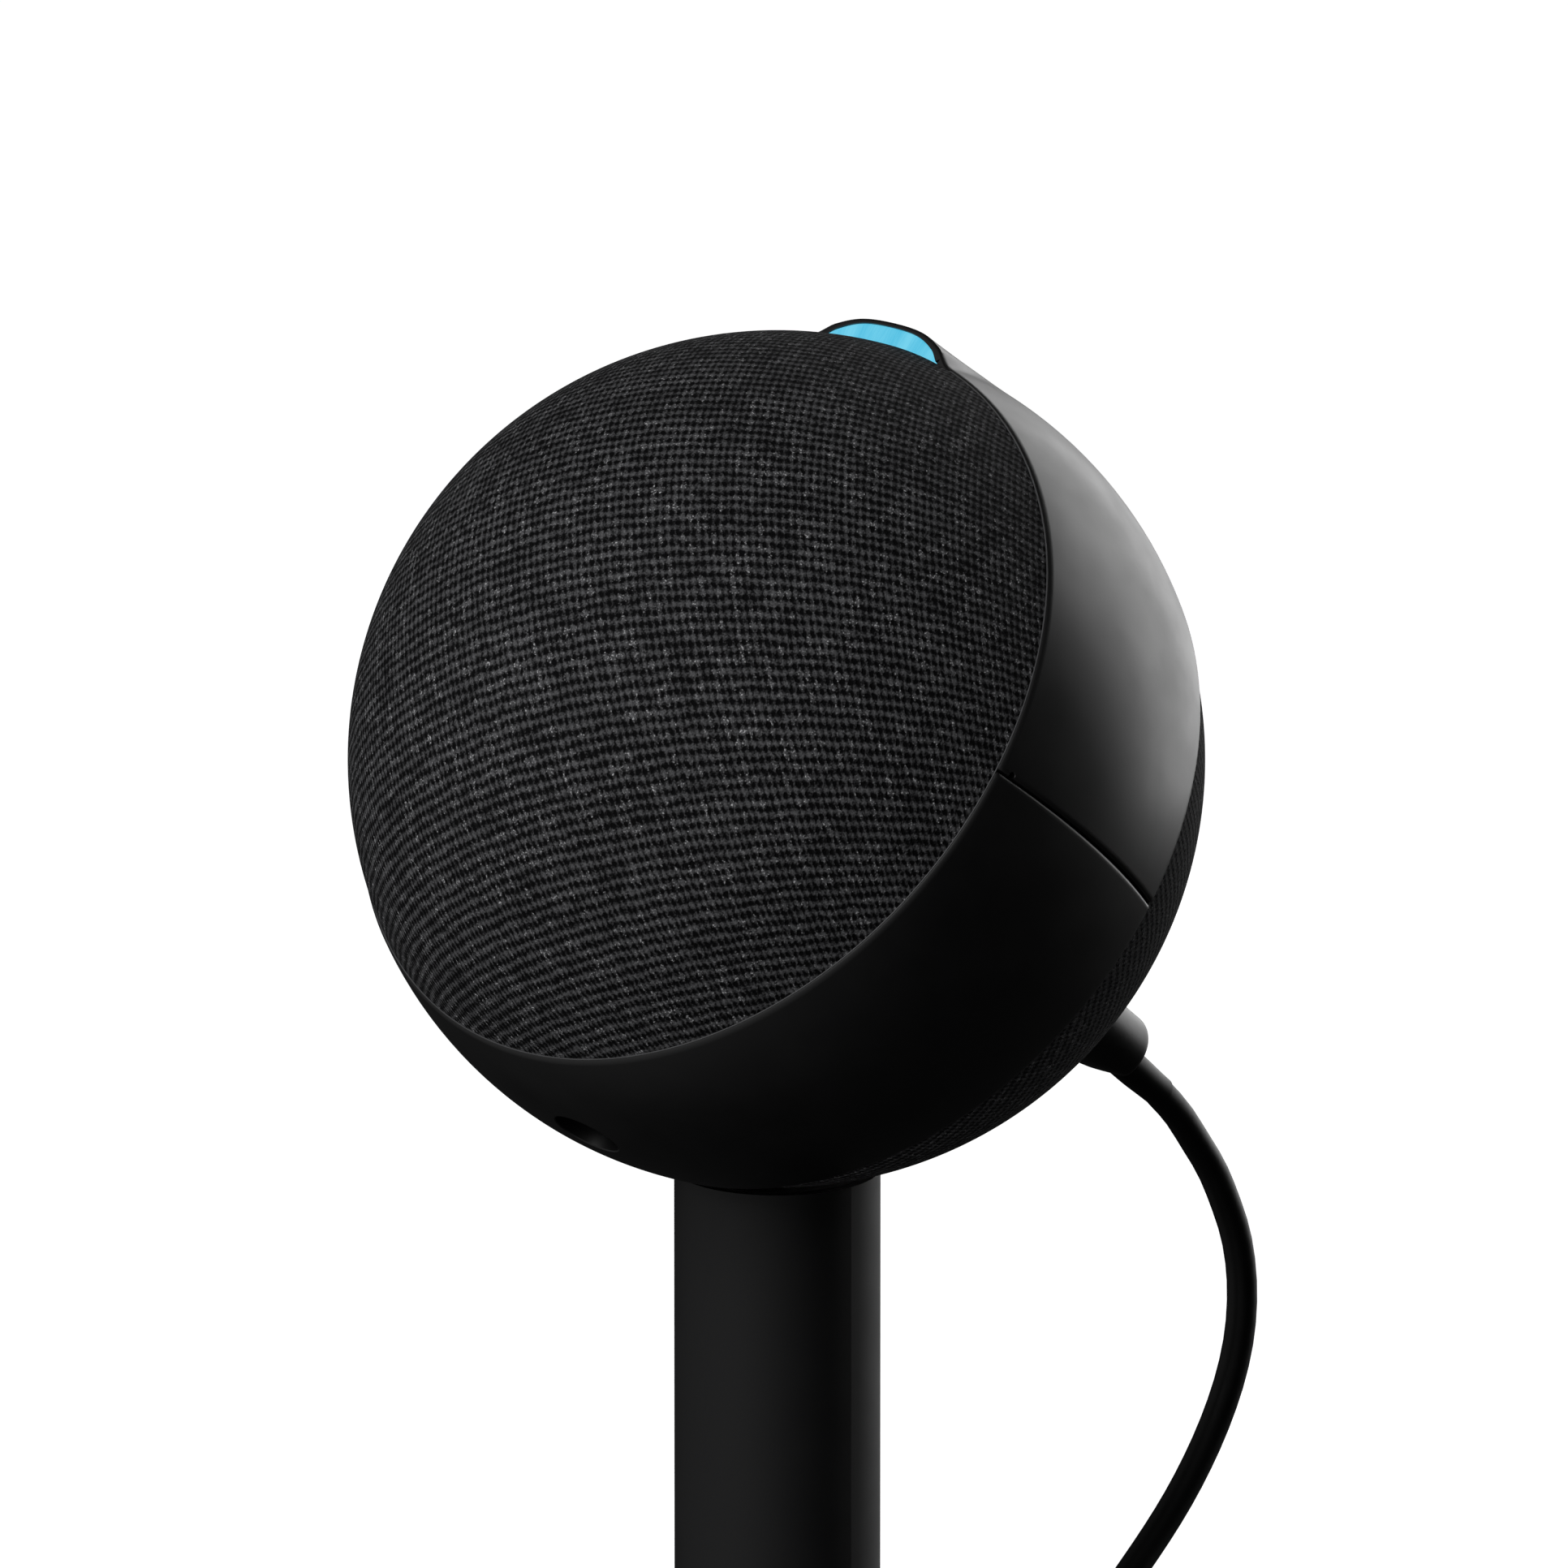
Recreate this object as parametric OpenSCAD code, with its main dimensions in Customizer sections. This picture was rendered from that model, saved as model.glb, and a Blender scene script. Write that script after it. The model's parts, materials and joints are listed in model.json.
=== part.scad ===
// Spherical smart speaker on a table stand, in millimetres.
// The origin is the middle of the base's underside, +Z is up and the speaker faces -Y.

/* [Speaker ball] */
// Outer radius of the smooth band round the ball
ball_r = 52; // [48:0.5:56]
// Height of the ball's centre above the table
ball_z = 290; // [270:5:340]
// How far the front face is tipped up from level
face_tilt = 39; // [35:1:42]
// Wall thickness of the moulded shells
shell_wall = 2.2; // [1.8:0.1:2.6]
// Latitude of the front edge of the band, measured from the ball's middle
front_edge_lat = 18.5; // [17:0.5:20]
// Latitude of the rear edge of the band
rear_edge_lat = -20.8; // [-22:0.1:-19]
// How far the front cloth lies below the band
front_cloth_step = 0.3; // [0.2:0.1:0.6]
// How far the rear cloth lies below the band
rear_cloth_step = 0.5; // [0.4:0.1:0.8]

/* [Light crest] */
// Height of the crest above the front edge
crest_height = 2.6; // [2:0.1:3.2]
// Half of the crest's width, as an angle where its shoulder is half as high
crest_half_angle = 10.8; // [9:0.1:12]
// Width of the dark frame round the light lens
bezel_width = 0.6; // [0.5:0.1:1.2]

/* [Buttons] */
// Radius of each button
button_r = 3.4; // [3:0.1:3.8]
// Travel of each button
button_travel = 0.6; // [0.4:0.1:0.8]
// Angle between neighbouring buttons
button_pitch = 10; // [10:0.5:11]

/* [Loudspeaker] */
// Radius of the loudspeaker's fixing flange
driver_r = 31.5; // [30.5:0.5:33]
// Number of rings of holes in the front grille
grille_rings = 5; // [3:1:5]

/* [Pole] */
// Outer radius of the pole
pole_r = 12.5; // [11:0.5:13]
// Wall thickness of the pole
pole_wall = 2; // [1.5:0.5:2.5]

/* [Base] */
// Outer radius of the base
base_r = 76; // [70:1:90]
// Thickness of the steel weight in the base
weight_h = 8; // [6:0.5:10]

/* [Power cord] */
// Diameter of the power cord
cord_d = 3.8; // [3.4:0.1:4]
// Turns in the coil's lower layer
coil_turns = 4; // [3:1:4]

/* [Hidden] */
$fn = 96;
gap = 0.1;
run_gap = 0.3;

// The ball, in its own axes: +Z out of the front face, +Y towards the crest
front_z = ball_r * sin(front_edge_lat);
front_rim_r = ball_r * cos(front_edge_lat);
rear_z = ball_r * sin(rear_edge_lat);
shell_inner_r = ball_r - shell_wall;
cloth_t = 0.8;
front_cloth_r = ball_r - front_cloth_step;
grille_r = front_cloth_r - cloth_t - 0.05;
rear_cloth_r = ball_r - rear_cloth_step;
housing_r = rear_cloth_r - cloth_t - 0.05;
skin_wall = 2;
seam_gap = 0.12;
dish_r = 4.25;
thread_r = 2.6;

// Light crest
lens_depth = 2.2;
guide_back_z = 8.5;
crest_base_r = 47.6;

// Buttons
button_lat = -8;
button_names = ["mic_off_button", "volume_down_button", "volume_up_button", "action_button"];
button_seat_r = ball_r - 5.9;
switch_top_r = button_seat_r - button_travel - gap;

// Loudspeaker, measured along the ball's own axis
baffle_z = 25;
baffle_r = 41.4;
flange_h = 1.8;
screw_ring_r = 29.5;
magnet_r = 17;
coil_r = 6.5;
cone_r = 21.6;

// Main board and power socket
board_z = -13.2;
board_t = 1.6;
socket_r = 5;
plug_r = 4.65;
plug_end = 76.7;
relief_end = 86.45;
relief_drop = 0.6;

// Stand levels above the table
pad_h = 1.5;
weight_top = pad_h + weight_h;
cover_top = weight_top + 4;
hub_top = 34;
hub_r = 18.5;
bush_r = 15.2;
collar_r = 16;
collar_h = 5;
washer_h = 1;
pole_bottom = weight_top + washer_h + 0.05;
cradle_r = ball_r + run_gap;
gland_axis_z = 120;
gland_mouth_y = 24;
cord_r = cord_d / 2;
duct_z = 5.5;
handover_z = 40;
pole_bend_r = 12;
base_bend_r = 14;

// Coil of spare cord, lying behind the base
coil_x = 22;
coil_y = 114;
coil_lift = 0.6;
coil_mid_r = 6 * cord_d;
coil_inner_r = coil_mid_r - coil_turns * cord_r;
coil_outer_r = coil_mid_r + coil_turns * cord_r;
coil_h = cord_d * (1 + sin(60));

// Mains adapter, lying beside the coil
adapter_x = 78;
adapter_y = 66;
adapter_w = 40;
adapter_l = 42;
adapter_h = 27;
adapter_exit_z = 6;

// Route of the cord's free loop, from the plug's strain relief to the pole
loop_route = [
    [0, 66.8, 235], [0, 70, 231.8], [0, 73.2, 227.6], [0, 76.2, 223.4], [0, 78.6, 218.8], [0, 80.5, 214.2],
    [0, 81.5, 209.6], [0, 81.7, 205], [0, 81.1, 200.4], [0, 79.6, 195.8], [0, 77.3, 191.3], [0, 74.4, 187],
    [0, 70.8, 182.7], [0, 66.6, 178.6], [0, 61.2, 174], [0, 55, 168.9], [0, 48.5, 163.8], [0, 42, 158.8],
    [0, 36, 154.2], [0, 30, 149.3], [0, 24, 144],
];
// Route of the cord from the base's outlet to the coil
tail_route = [
    [0, 76, 5.5], [0, 82, 5.3], [-0.5, 88, 4], [-2, 94, 2.6], [-4, 100, 2.1], [-5.8, 106, 2.2], [-6.5, 114, 2.5],
];
// Route of the cord from the coil to the adapter
lead_route = [
    [22, 140.6, 5.8], [28, 140.6, 6.1], [34, 140.5, 6.2], [40, 140.2, 4.9], [46, 139.6, 3.1], [53, 138.2, 1.9],
    [60, 135.6, 1.9], [66, 132, 2], [71, 128, 2.6], [75, 123.6, 3.8], [77.6, 120, 5], [78, 118, 5.8], [78, 116.1, 6],
];

// ---- helpers ----

// Places children in the ball's own axes
module in_head() {
    translate([0, 0, ball_z]) rotate([90 - face_tilt, 0, 0]) children();
}

// Turns children's +Z outwards at a latitude, and at an angle round the front axis from the crest
module radial(lat, around) {
    rotate([0, 0, -around]) rotate([lat - 90, 0, 0]) children();
}

// Part of a hollow sphere between two heights
module sphere_band(outer, inner, low, high) {
    difference() {
        intersection() {
            sphere(r = outer);
            translate([0, 0, low]) cylinder(r = outer + 1, h = high - low);
        }
        sphere(r = inner);
    }
}

// Piece of a ring centred on the crest's side, half_angle each way
module ring_sector(inner, outer, low, high, half_angle) {
    rotate([0, 0, 90 - half_angle])
        rotate_extrude(angle = 2 * half_angle)
            translate([inner, low]) square([outer - inner, high - low]);
}

// Washer or straight tube standing on a height
module tube_ring(outer, inner, low, high) {
    difference() {
        translate([0, 0, low]) cylinder(r = outer, h = high - low);
        translate([0, 0, low - 1]) cylinder(r = inner, h = high - low + 2);
    }
}

// Share of the crest's height that is left on its shoulders
function crest_fade(a) = let (s = min(1, max(0, (abs(a) - 10) / 4.2))) 1 - s * s * (3 - 2 * s);

// Distance of the crest's outline from the front axis, at an angle from its middle
function crest_rho(a, inset = 0) =
    front_rim_r + crest_height / (1 + pow(abs(a) / crest_half_angle, 4.5)) * crest_fade(a) - inset;

// Outline across the crest, closed by a straight base
function crest_outline(reach, inset) = concat(
    [for (a = [-reach:reach / 10:reach]) crest_rho(a, inset) * [sin(a), cos(a)]],
    [for (s = [1, -1]) crest_base_r * [sin(s * reach), cos(reach)]]
);

// Round solid swept along a route; flat_axis is square to the route everywhere
function unit(v) = v / norm(v);
function heading(route, i) = unit(route[min(i + 1, len(route) - 1)] - route[max(i - 1, 0)]);
function ring_at(route, i, r, flat_axis, sides) =
    let (t = heading(route, i), u = unit(cross(t, flat_axis)), v = cross(u, t))
    [for (k = [0:sides - 1]) route[i] + r * (cos(360 * k / sides) * u + sin(360 * k / sides) * v)];

module swept_tube(route, r, flat_axis, sides = 8) {
    n = len(route);
    polyhedron(
        points = [for (i = [0:n - 1]) each ring_at(route, i, r, flat_axis, sides)],
        faces = concat(
            [[for (k = [sides - 1:-1:0]) k]],
            [[for (k = [0:sides - 1]) (n - 1) * sides + k]],
            [for (i = [0:n - 2], k = [0:sides - 1])
                let (m = (k + 1) % sides)
                [i * sides + k, i * sides + m, (i + 1) * sides + m, (i + 1) * sides + k]]
        )
    );
}

// ---- shells and cloth of the ball ----

// Slope on the front edge of the band
module front_chamfer() {
    rotate_extrude()
        polygon([[front_rim_r - 0.5, front_z + 0.1], [front_rim_r + 1, front_z + 0.1],
                 [front_rim_r + 1, front_z - 1.4]]);
}

module band() {
    difference() {
        sphere_band(ball_r, shell_inner_r, rear_z, front_z);
        front_chamfer();
    }
}

// The crest runs from the front edge back to the ball's widest ring, where it meets the sphere
module crest_solid() {
    hull() {
        translate([0, 0, front_z - 0.5]) linear_extrude(0.5) polygon(crest_outline(15, 0));
        translate([0, 0, 1])
            linear_extrude(0.5)
                polygon([for (a = [-13, -8, 0, 8, 13, 13, -13])
                    (abs(a) == 13 ? 51.2 : 51.9) * [sin(a), cos(a)]]);
    }
}

// Microphone holes on the seam at both sides
module mic_holes() {
    for (side = [-90, 90]) radial(16.2, side) translate([0, 0, 45]) cylinder(r = 0.4, h = 10, $fn = 24);
}

module upper_shell() {
    color("#1b1b1c") in_head() difference() {
        union() {
            intersection() {
                band();
                translate([-60, seam_gap, -30]) cube([120, 60, 60]);
            }
            difference() {
                crest_solid();
                sphere(r = shell_inner_r);
            }
        }
        translate([0, 0, front_z - lens_depth - gap])
            linear_extrude(lens_depth + 1) polygon(crest_outline(11.6, bezel_width - gap));
        ring_sector(45, 50.4, guide_back_z - 0.4, front_z - lens_depth, 9.8);
        for (i = [0:3]) radial(button_lat, (i - 1.5) * button_pitch)
            translate([0, 0, 45]) cylinder(r = button_r + 0.15, h = 10, $fn = 48);
        mic_holes();
    }
}

module lower_shell() {
    color("#151516") in_head() difference() {
        intersection() {
            band();
            translate([-60, -60 - seam_gap, -30]) cube([120, 60, 60]);
        }
        radial(0, 180) translate([0, 0, 45]) cylinder(r = dish_r, h = 10);
        mic_holes();
    }
}

module front_grille() {
    color("#232324") in_head() difference() {
        sphere_band(grille_r, grille_r - skin_wall, front_z + gap, ball_r);
        for (ring = [1:grille_rings], k = [0:6 * ring - 1])
            rotate([0, 0, 360 * k / (6 * ring) + 15 * ring])
                translate([6.5 * ring, 0, 30]) cylinder(r = 2.1, h = 25, $fn = 24);
        translate([0, 0, 30]) cylinder(r = 2.1, h = 25, $fn = 24);
    }
}

module front_fabric() {
    color("#2b2b2c") in_head()
        sphere_band(front_cloth_r, front_cloth_r - cloth_t, front_z + gap, ball_r);
}

module rear_housing() {
    color("#202021") in_head() difference() {
        sphere_band(housing_r, housing_r - skin_wall, -ball_r, rear_z - gap);
        translate([0, 0, -ball_r]) cylinder(r = socket_r, h = 10);
    }
}

module rear_fabric() {
    color("#262627") in_head() difference() {
        sphere_band(rear_cloth_r, rear_cloth_r - cloth_t, -ball_r, rear_z - gap);
        translate([0, 0, -ball_r]) cylinder(r = socket_r, h = 10);
    }
}

// ---- light bar ----

module light_lens() {
    color("#5bc6e6") in_head()
        translate([0, 0, front_z - lens_depth])
            linear_extrude(lens_depth) polygon(crest_outline(11.2, bezel_width));
}

module light_guide() {
    color("#dfe8ea") in_head() ring_sector(47.2, 50.2, guide_back_z, front_z - lens_depth - gap, 9.4);
}

module led_board() {
    led_z = guide_back_z - 2;
    color("#1d4a2c") in_head() {
        ring_sector(44.8, 48.7, led_z, led_z + 1, 11);
        for (k = [0:4]) rotate([0, 0, (k - 2) * 4])
            translate([-1, 47.3, led_z + 1]) cube([2, 1.3, 0.8]);
    }
}

// ---- loudspeaker ----

module driver_screw_holes(r) {
    for (k = [0:3]) rotate([0, 0, 45 + 90 * k])
        translate([screw_ring_r, 0, 15]) cylinder(r = r, h = 20, $fn = 32);
}

module front_baffle() {
    color("#2e2e30") in_head() difference() {
        rotate_extrude() polygon([
            [27.6, baffle_z - 3], [baffle_r - 1, baffle_z - 3], [44.4, 17], [44.4, 9], [46.4, 9],
            [46.2, 16.2], [45, 17.2], [baffle_r, baffle_z], [27.6, baffle_z],
        ]);
        driver_screw_holes(1.3);
        for (side = [-1, 1]) translate([side * 46.5 - 2.5, -6, 8]) cube([5, 12, 9.5]);
    }
}

module sound_chamber() {
    color("#3a3a3c") in_head() difference() {
        rotate_extrude() polygon([
            [0, -9], [30, -9], [36, -3], [36, baffle_z - 3.05], [34, baffle_z - 3.05], [34, -2], [29, -7], [0, -7],
        ]);
        for (side = [-1, 1]) translate([side * 2, 23, -12]) cylinder(r = 0.9, h = 8, $fn = 24);
    }
}

module driver_frame() {
    color("#4a4a4c") in_head() difference() {
        rotate_extrude() polygon([
            [8, 10.6], [18.8, 10.6], [27.2, 23.6], [27.2, baffle_z + 0.05], [driver_r, baffle_z + 0.05],
            [driver_r, baffle_z + flange_h], [25.2, baffle_z + flange_h], [25.2, 24.2], [17.6, 12], [8, 12],
        ]);
        driver_screw_holes(1.3);
    }
}

module driver_magnet() {
    color("#38383c") in_head() tube_ring(magnet_r, 8.6, 4, 10.5);
}

module driver_yoke() {
    color("#8d8f93") in_head() {
        translate([0, 0, 1.5]) cylinder(r = magnet_r, h = 2.4);
        cylinder(r = 6, h = 11.5);
    }
}

module driver_spider() {
    color("#b98b4a") in_head() tube_ring(18.6, coil_r + 0.65, 14, 14.6);
}

// Half round rubber roll between the cone and the frame
module driver_surround() {
    roll_r = 2.5;
    color("#1f1f20") in_head() rotate_extrude() {
        translate([cone_r + roll_r + 0.1, baffle_z + flange_h + 0.05])
            polygon(concat(
                [for (a = [0:20:180]) roll_r * [cos(a), sin(a)]],
                [for (a = [180:-20:0]) (roll_r - 0.5) * [cos(a), sin(a)]]
            ));
    }
}

module driver_cone() {
    rim_z = baffle_z + flange_h;
    color("#2a2a2c") in_head() rotate_extrude() polygon(concat(
        [[coil_r + 0.65, 15.4], [coil_r + 1.4, 15.4], [cone_r, rim_z - 0.6], [cone_r, rim_z + 0.2]],
        [[cone_r - 0.6, rim_z + 0.2], [8.2, 17.3]],
        [for (a = [50:10:90]) [12.8 * cos(a), 7.5 + 12.8 * sin(a)]],
        [for (a = [90:-10:50]) [12.3 * cos(a), 7.5 + 12.3 * sin(a)]],
        [[coil_r + 0.65, 16.4]]
    ));
}

module voice_coil() {
    color("#b5703a") in_head() tube_ring(coil_r + 0.6, coil_r, 6, 16);
}

module driver_screws() {
    color("#9a9ca0") in_head() for (k = [0:3]) rotate([0, 0, 45 + 90 * k]) translate([screw_ring_r, 0, 0]) {
        translate([0, 0, 20]) cylinder(r = 1.2, h = baffle_z + flange_h - 19.9, $fn = 32);
        translate([0, 0, baffle_z + flange_h + 0.05]) cylinder(r = 2.2, h = 1.4, $fn = 32);
    }
}

// Two insulated wires from the main board, through the chamber, to the frame
module speaker_leads() {
    color("#8c2f2f") in_head() for (side = [-1, 1])
        swept_tube([[side * 2, 23, -11.5], [side * 2, 23, 0], [side * 2, 23, 12], [side * 2, 22.8, 13.6],
                    [side * 2, 21.9, 14.6]], 0.6, [1, 0, 0]);
}

// ---- electronics ----

module main_board() {
    color("#1d4a2c") in_head() difference() {
        translate([0, 0, board_z]) cylinder(r = 38, h = board_t);
        for (k = [0:3]) rotate([0, 0, 45 + 90 * k])
            translate([26, 0, board_z - 1]) cylinder(r = 1.35, h = 4, $fn = 32);
    }
}

module board_shield() {
    color("#a9abae") in_head() translate([-12, -12, board_z - 2.45]) cube([24, 24, 2.4]);
}

module heat_spreader() {
    color("#c3c5c8") in_head() translate([-17, -15, board_z - 4.2]) cube([34, 30, 1.7]);
}

module board_screws() {
    color("#9a9ca0") in_head() for (k = [0:3]) rotate([0, 0, 45 + 90 * k]) translate([26, 0, 0]) {
        translate([0, 0, board_z - 0.1]) cylinder(r = 1.2, h = 4.2, $fn = 32);
        translate([0, 0, board_z - 1.45]) cylinder(r = 2.4, h = 1.4, $fn = 32);
    }
}

// Small boards with a microphone each, behind the holes on the seam
module mic_boards() {
    color("#1d4a2c") in_head() for (side = [-90, 90]) radial(16.2, side) {
        translate([-4.5, -2.5, 46.2]) cube([9, 5, 0.8]);
        translate([-1.5, -1.2, 47]) cube([3, 2.4, 1.1]);
    }
}

module button_board() {
    color("#1d4a2c") in_head() ring_sector(42, 43, -11.5, -0.5, 21);
}

module button_switches() {
    color("#c9cacc") in_head() for (i = [0:3]) radial(button_lat, (i - 1.5) * button_pitch)
        translate([-2.2, -2.2, 43.9]) cube([4.4, 4.4, switch_top_r - 43.9]);
}

// Round cap with a flange under the shell that holds it in
module button(i) {
    color("#101011") in_head() intersection() {
        radial(button_lat, (i - 1.5) * button_pitch) {
            translate([0, 0, button_seat_r]) cylinder(r = button_r, h = 8, $fn = 48);
            translate([0, 0, button_seat_r]) cylinder(r = button_r + 0.4, h = 2.8, $fn = 48);
        }
        sphere(r = ball_r + 0.15);
    }
}

module mic_off_button() { button(0); }
module volume_down_button() { button(1); }
module volume_up_button() { button(2); }
module action_button() { button(3); }

module power_jack() {
    color("#141415") in_head() difference() {
        union() {
            translate([0, 0, -49.3]) cylinder(r = socket_r - gap, h = 4);
            translate([0, 0, -46.5]) cylinder(r = 6.5, h = 10.5);
        }
        difference() {
            translate([0, 0, -50]) cylinder(r = 2.85, h = 11);
            translate([0, 0, -47]) cylinder(r = 0.8, h = 10, $fn = 32);
        }
    }
}

module tripod_insert() {
    color("#2d2d2f") in_head() difference() {
        intersection() {
            radial(0, 180) {
                translate([0, 0, 41]) cylinder(r = 5, h = 5);
                translate([0, 0, 45]) cylinder(r = 7, h = 6);
            }
            sphere(r = shell_inner_r - gap);
        }
        radial(0, 180) translate([0, 0, 40]) cylinder(r = thread_r, h = 12);
    }
}

// Steel strip inside the ball that the stand's magnet pulls on
module keeper_plate() {
    color("#8d8f93") in_head() rotate([0, -90, 0]) rotate([0, 0, 180 + 22])
        translate([0, 0, -8]) rotate_extrude(angle = 53) translate([45.8, 0]) square([1.5, 16]);
}

// ---- plug and free loop of cord ----

module plug_body() {
    color("#121213") in_head() difference() {
        union() {
            translate([0, 0, -plug_end + 1]) cylinder(r = plug_r, h = plug_end - 50.5);
            translate([0, 0, -plug_end]) cylinder(r1 = plug_r - 0.8, r2 = plug_r, h = 1);
        }
        translate([0, 0, -plug_end]) rotate([15, 0, 0]) translate([-10, -20 - 2.9, -20]) cube([20, 20, 40]);
        translate([0, 0, -56]) cylinder(r = 2.8, h = 10);
    }
}

module plug_barrel() {
    color("#b9bbbf") in_head() tube_ring(2.75, 1.1, -55.9, -40);
}

module plug_relief() {
    color("#121213") in_head() translate([0, -relief_drop, 0]) {
        translate([0, 0, -relief_end]) cylinder(r = 2.15, h = relief_end - plug_end - 0.05);
        for (k = [0:2]) translate([0, 0, -plug_end - 2.2 - 2.4 * k]) cylinder(r = 2.5, h = 1.2);
    }
}

module cord_loop() {
    color("#151516") swept_tube(loop_route, cord_r, [1, 0, 0]);
}

// ---- pole ----

// A straight line at 45 degrees from the pole's axis out through its back
module gland_line() {
    translate([0, 0, gland_axis_z]) rotate([-45, 0, 0]) children();
}

module pole_tube() {
    color("#1a1a1b") difference() {
        translate([0, 0, pole_bottom]) cylinder(r = pole_r, h = ball_z - 45 - pole_bottom);
        translate([0, 0, pole_bottom - 1]) cylinder(r = pole_r - pole_wall, h = ball_z);
        translate([0, 0, ball_z]) sphere(r = cradle_r + 0.2);
        gland_line() cylinder(r = 3.3, h = 40, $fn = 48);
    }
}

// Ring fixed round the pole's foot, which keeps it in the bearing
module pole_collar() {
    color("#7c7e82") tube_ring(collar_r, pole_r + 0.02, pole_bottom, pole_bottom + collar_h);
}

module cradle_cup() {
    color("#232324") difference() {
        translate([0, 0, 216]) cylinder(r = pole_r - pole_wall - gap, h = 30);
        translate([0, 0, ball_z]) sphere(r = cradle_r + 1.05);
        translate([0, 0, 229.3]) cylinder(r = 8.05, h = 6.1);
    }
}

module cradle_magnet() {
    color("#b3b5b9") translate([0, 0, 229.35]) cylinder(r = 8, h = 6);
}

// Rubber lining that the ball rests on
module cradle_pad() {
    color("#0f0f10") translate([0, 0, ball_z]) intersection() {
        difference() {
            sphere(r = cradle_r + 1);
            sphere(r = cradle_r);
        }
        translate([0, 0, -60]) cylinder(r = 9.8, h = 20);
    }
}

module cord_gland() {
    color("#141415") difference() {
        union() {
            gland_line() translate([0, 0, 13]) cylinder(r = 3.2, h = gland_mouth_y / sin(45) - 13, $fn = 48);
            intersection() {
                tube_ring(pole_r + 1.6, pole_r + 0.02, 120, 146);
                translate([0, 0, gland_axis_z + pole_r]) rotate([-90, 0, 0]) cylinder(r = 8, h = 30);
            }
        }
        gland_line() cylinder(r = cord_r + 0.05, h = 40, $fn = 48);
    }
}

// From the gland's mouth in to the pole's axis, then straight down
module pole_cable() {
    fillet = pole_bend_r * tan(22.5);
    route = concat(
        [for (y = [gland_mouth_y - 0.3, 18, 12, 7]) [0, y, gland_axis_z + y]],
        [for (a = [45:-9:0]) [0, pole_bend_r * (1 - cos(a)), gland_axis_z - fillet + pole_bend_r * sin(a)]],
        [for (z = [104, 94, 84, 74, 64, 54, 46, handover_z]) [0, 0, z]]
    );
    color("#151516") swept_tube(route, cord_r, [1, 0, 0]);
}

// ---- base ----

module base_plate() {
    color("#6d6f73") difference() {
        translate([0, 0, pad_h + 0.02]) cylinder(r = base_r - 2.2, h = weight_h - 0.04);
        translate([0, 0, pad_h - 1]) cylinder(r = 9, h = weight_h + 2);
        translate([-2.6, 0, pad_h - 1]) cube([5.2, base_r, weight_h + 2]);
        translate([-4.1, base_r - 4, pad_h - 1]) cube([8.2, 5, weight_h + 2]);
        for (k = [0:2]) rotate([0, 0, 30 + 120 * k])
            translate([50, 0, pad_h - 1]) cylinder(r = 2.2, h = weight_h + 2, $fn = 32);
    }
}

module base_cover() {
    color("#17171a") difference() {
        rotate_extrude() polygon([
            [collar_r + 0.4, weight_top + 0.02], [base_r - 2, weight_top + 0.02], [base_r - 2, 2.2],
            [base_r - 0.6, 1.8], [base_r, 2.4], [base_r, cover_top - 3], [base_r - 1, cover_top - 1.2],
            [base_r - 3, cover_top], [hub_r + 3, cover_top], [hub_r, cover_top + 3], [hub_r - 0.8, hub_top],
            [bush_r, hub_top], [bush_r, 18], [collar_r + 0.4, 18],
        ]);
        translate([-4.1, base_r - 4, 0]) cube([8.2, 8, weight_top]);
        for (k = [0:2]) rotate([0, 0, 30 + 120 * k])
            translate([50, 0, weight_top - 1]) cylinder(r = 1.6, h = 3, $fn = 32);
    }
}

module base_pad() {
    color("#0e0e0f") difference() {
        cylinder(r = base_r - 3, h = pad_h);
        for (k = [0:2]) rotate([0, 0, 30 + 120 * k])
            translate([50, 0, -1]) cylinder(r = 5, h = pad_h + 2, $fn = 48);
    }
}

module bearing_bush() {
    color("#d9d6cc") tube_ring(bush_r - 0.02, pole_r + 0.05, 18, hub_top - 0.6);
}

module thrust_washer() {
    color("#d9d6cc") tube_ring(collar_r, 9.4, weight_top + 0.02, weight_top + washer_h);
}

module base_screws() {
    color("#9a9ca0") for (k = [0:2]) rotate([0, 0, 30 + 120 * k]) translate([50, 0, 0]) {
        translate([0, 0, 0.3]) cylinder(r = 4, h = 1.2, $fn = 48);
        translate([0, 0, 1.4]) cylinder(r = 1.5, h = weight_h + 1.7, $fn = 32);
    }
}

module outlet_grommet() {
    color("#0e0e0f") difference() {
        intersection() {
            translate([-4, base_r - 3.9, 2]) cube([8, 8, weight_top - 2.1]);
            cylinder(r = base_r - 0.05, h = 30);
        }
        translate([0, base_r - 6, duct_z]) rotate([-90, 0, 0]) cylinder(r = cord_r + 0.05, h = 10, $fn = 48);
    }
}

// Down the pole's axis, round one bend and out along the slot in the weight
module base_cable() {
    bend_top = duct_z + base_bend_r;
    route = concat(
        [for (z = [handover_z, 32, 25]) [0, 0, z]],
        [for (a = [0:15:90]) [0, base_bend_r * (1 - cos(a)), bend_top - base_bend_r * sin(a)]],
        [for (y = [24, 34, 44, 54, 64, base_r]) [0, y, duct_z]]
    );
    color("#151516") swept_tube(route, cord_r, [1, 0, 0]);
}

// ---- spare cord and adapter ----

module cord_tail() {
    color("#151516") swept_tube(tail_route, cord_r, [0, 0, 1]);
}

module cord_coil() {
    color("#151516") translate([coil_x, coil_y, coil_lift])
        rotate_extrude() translate([coil_inner_r, 0]) square([coil_outer_r - coil_inner_r, coil_h]);
}

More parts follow.
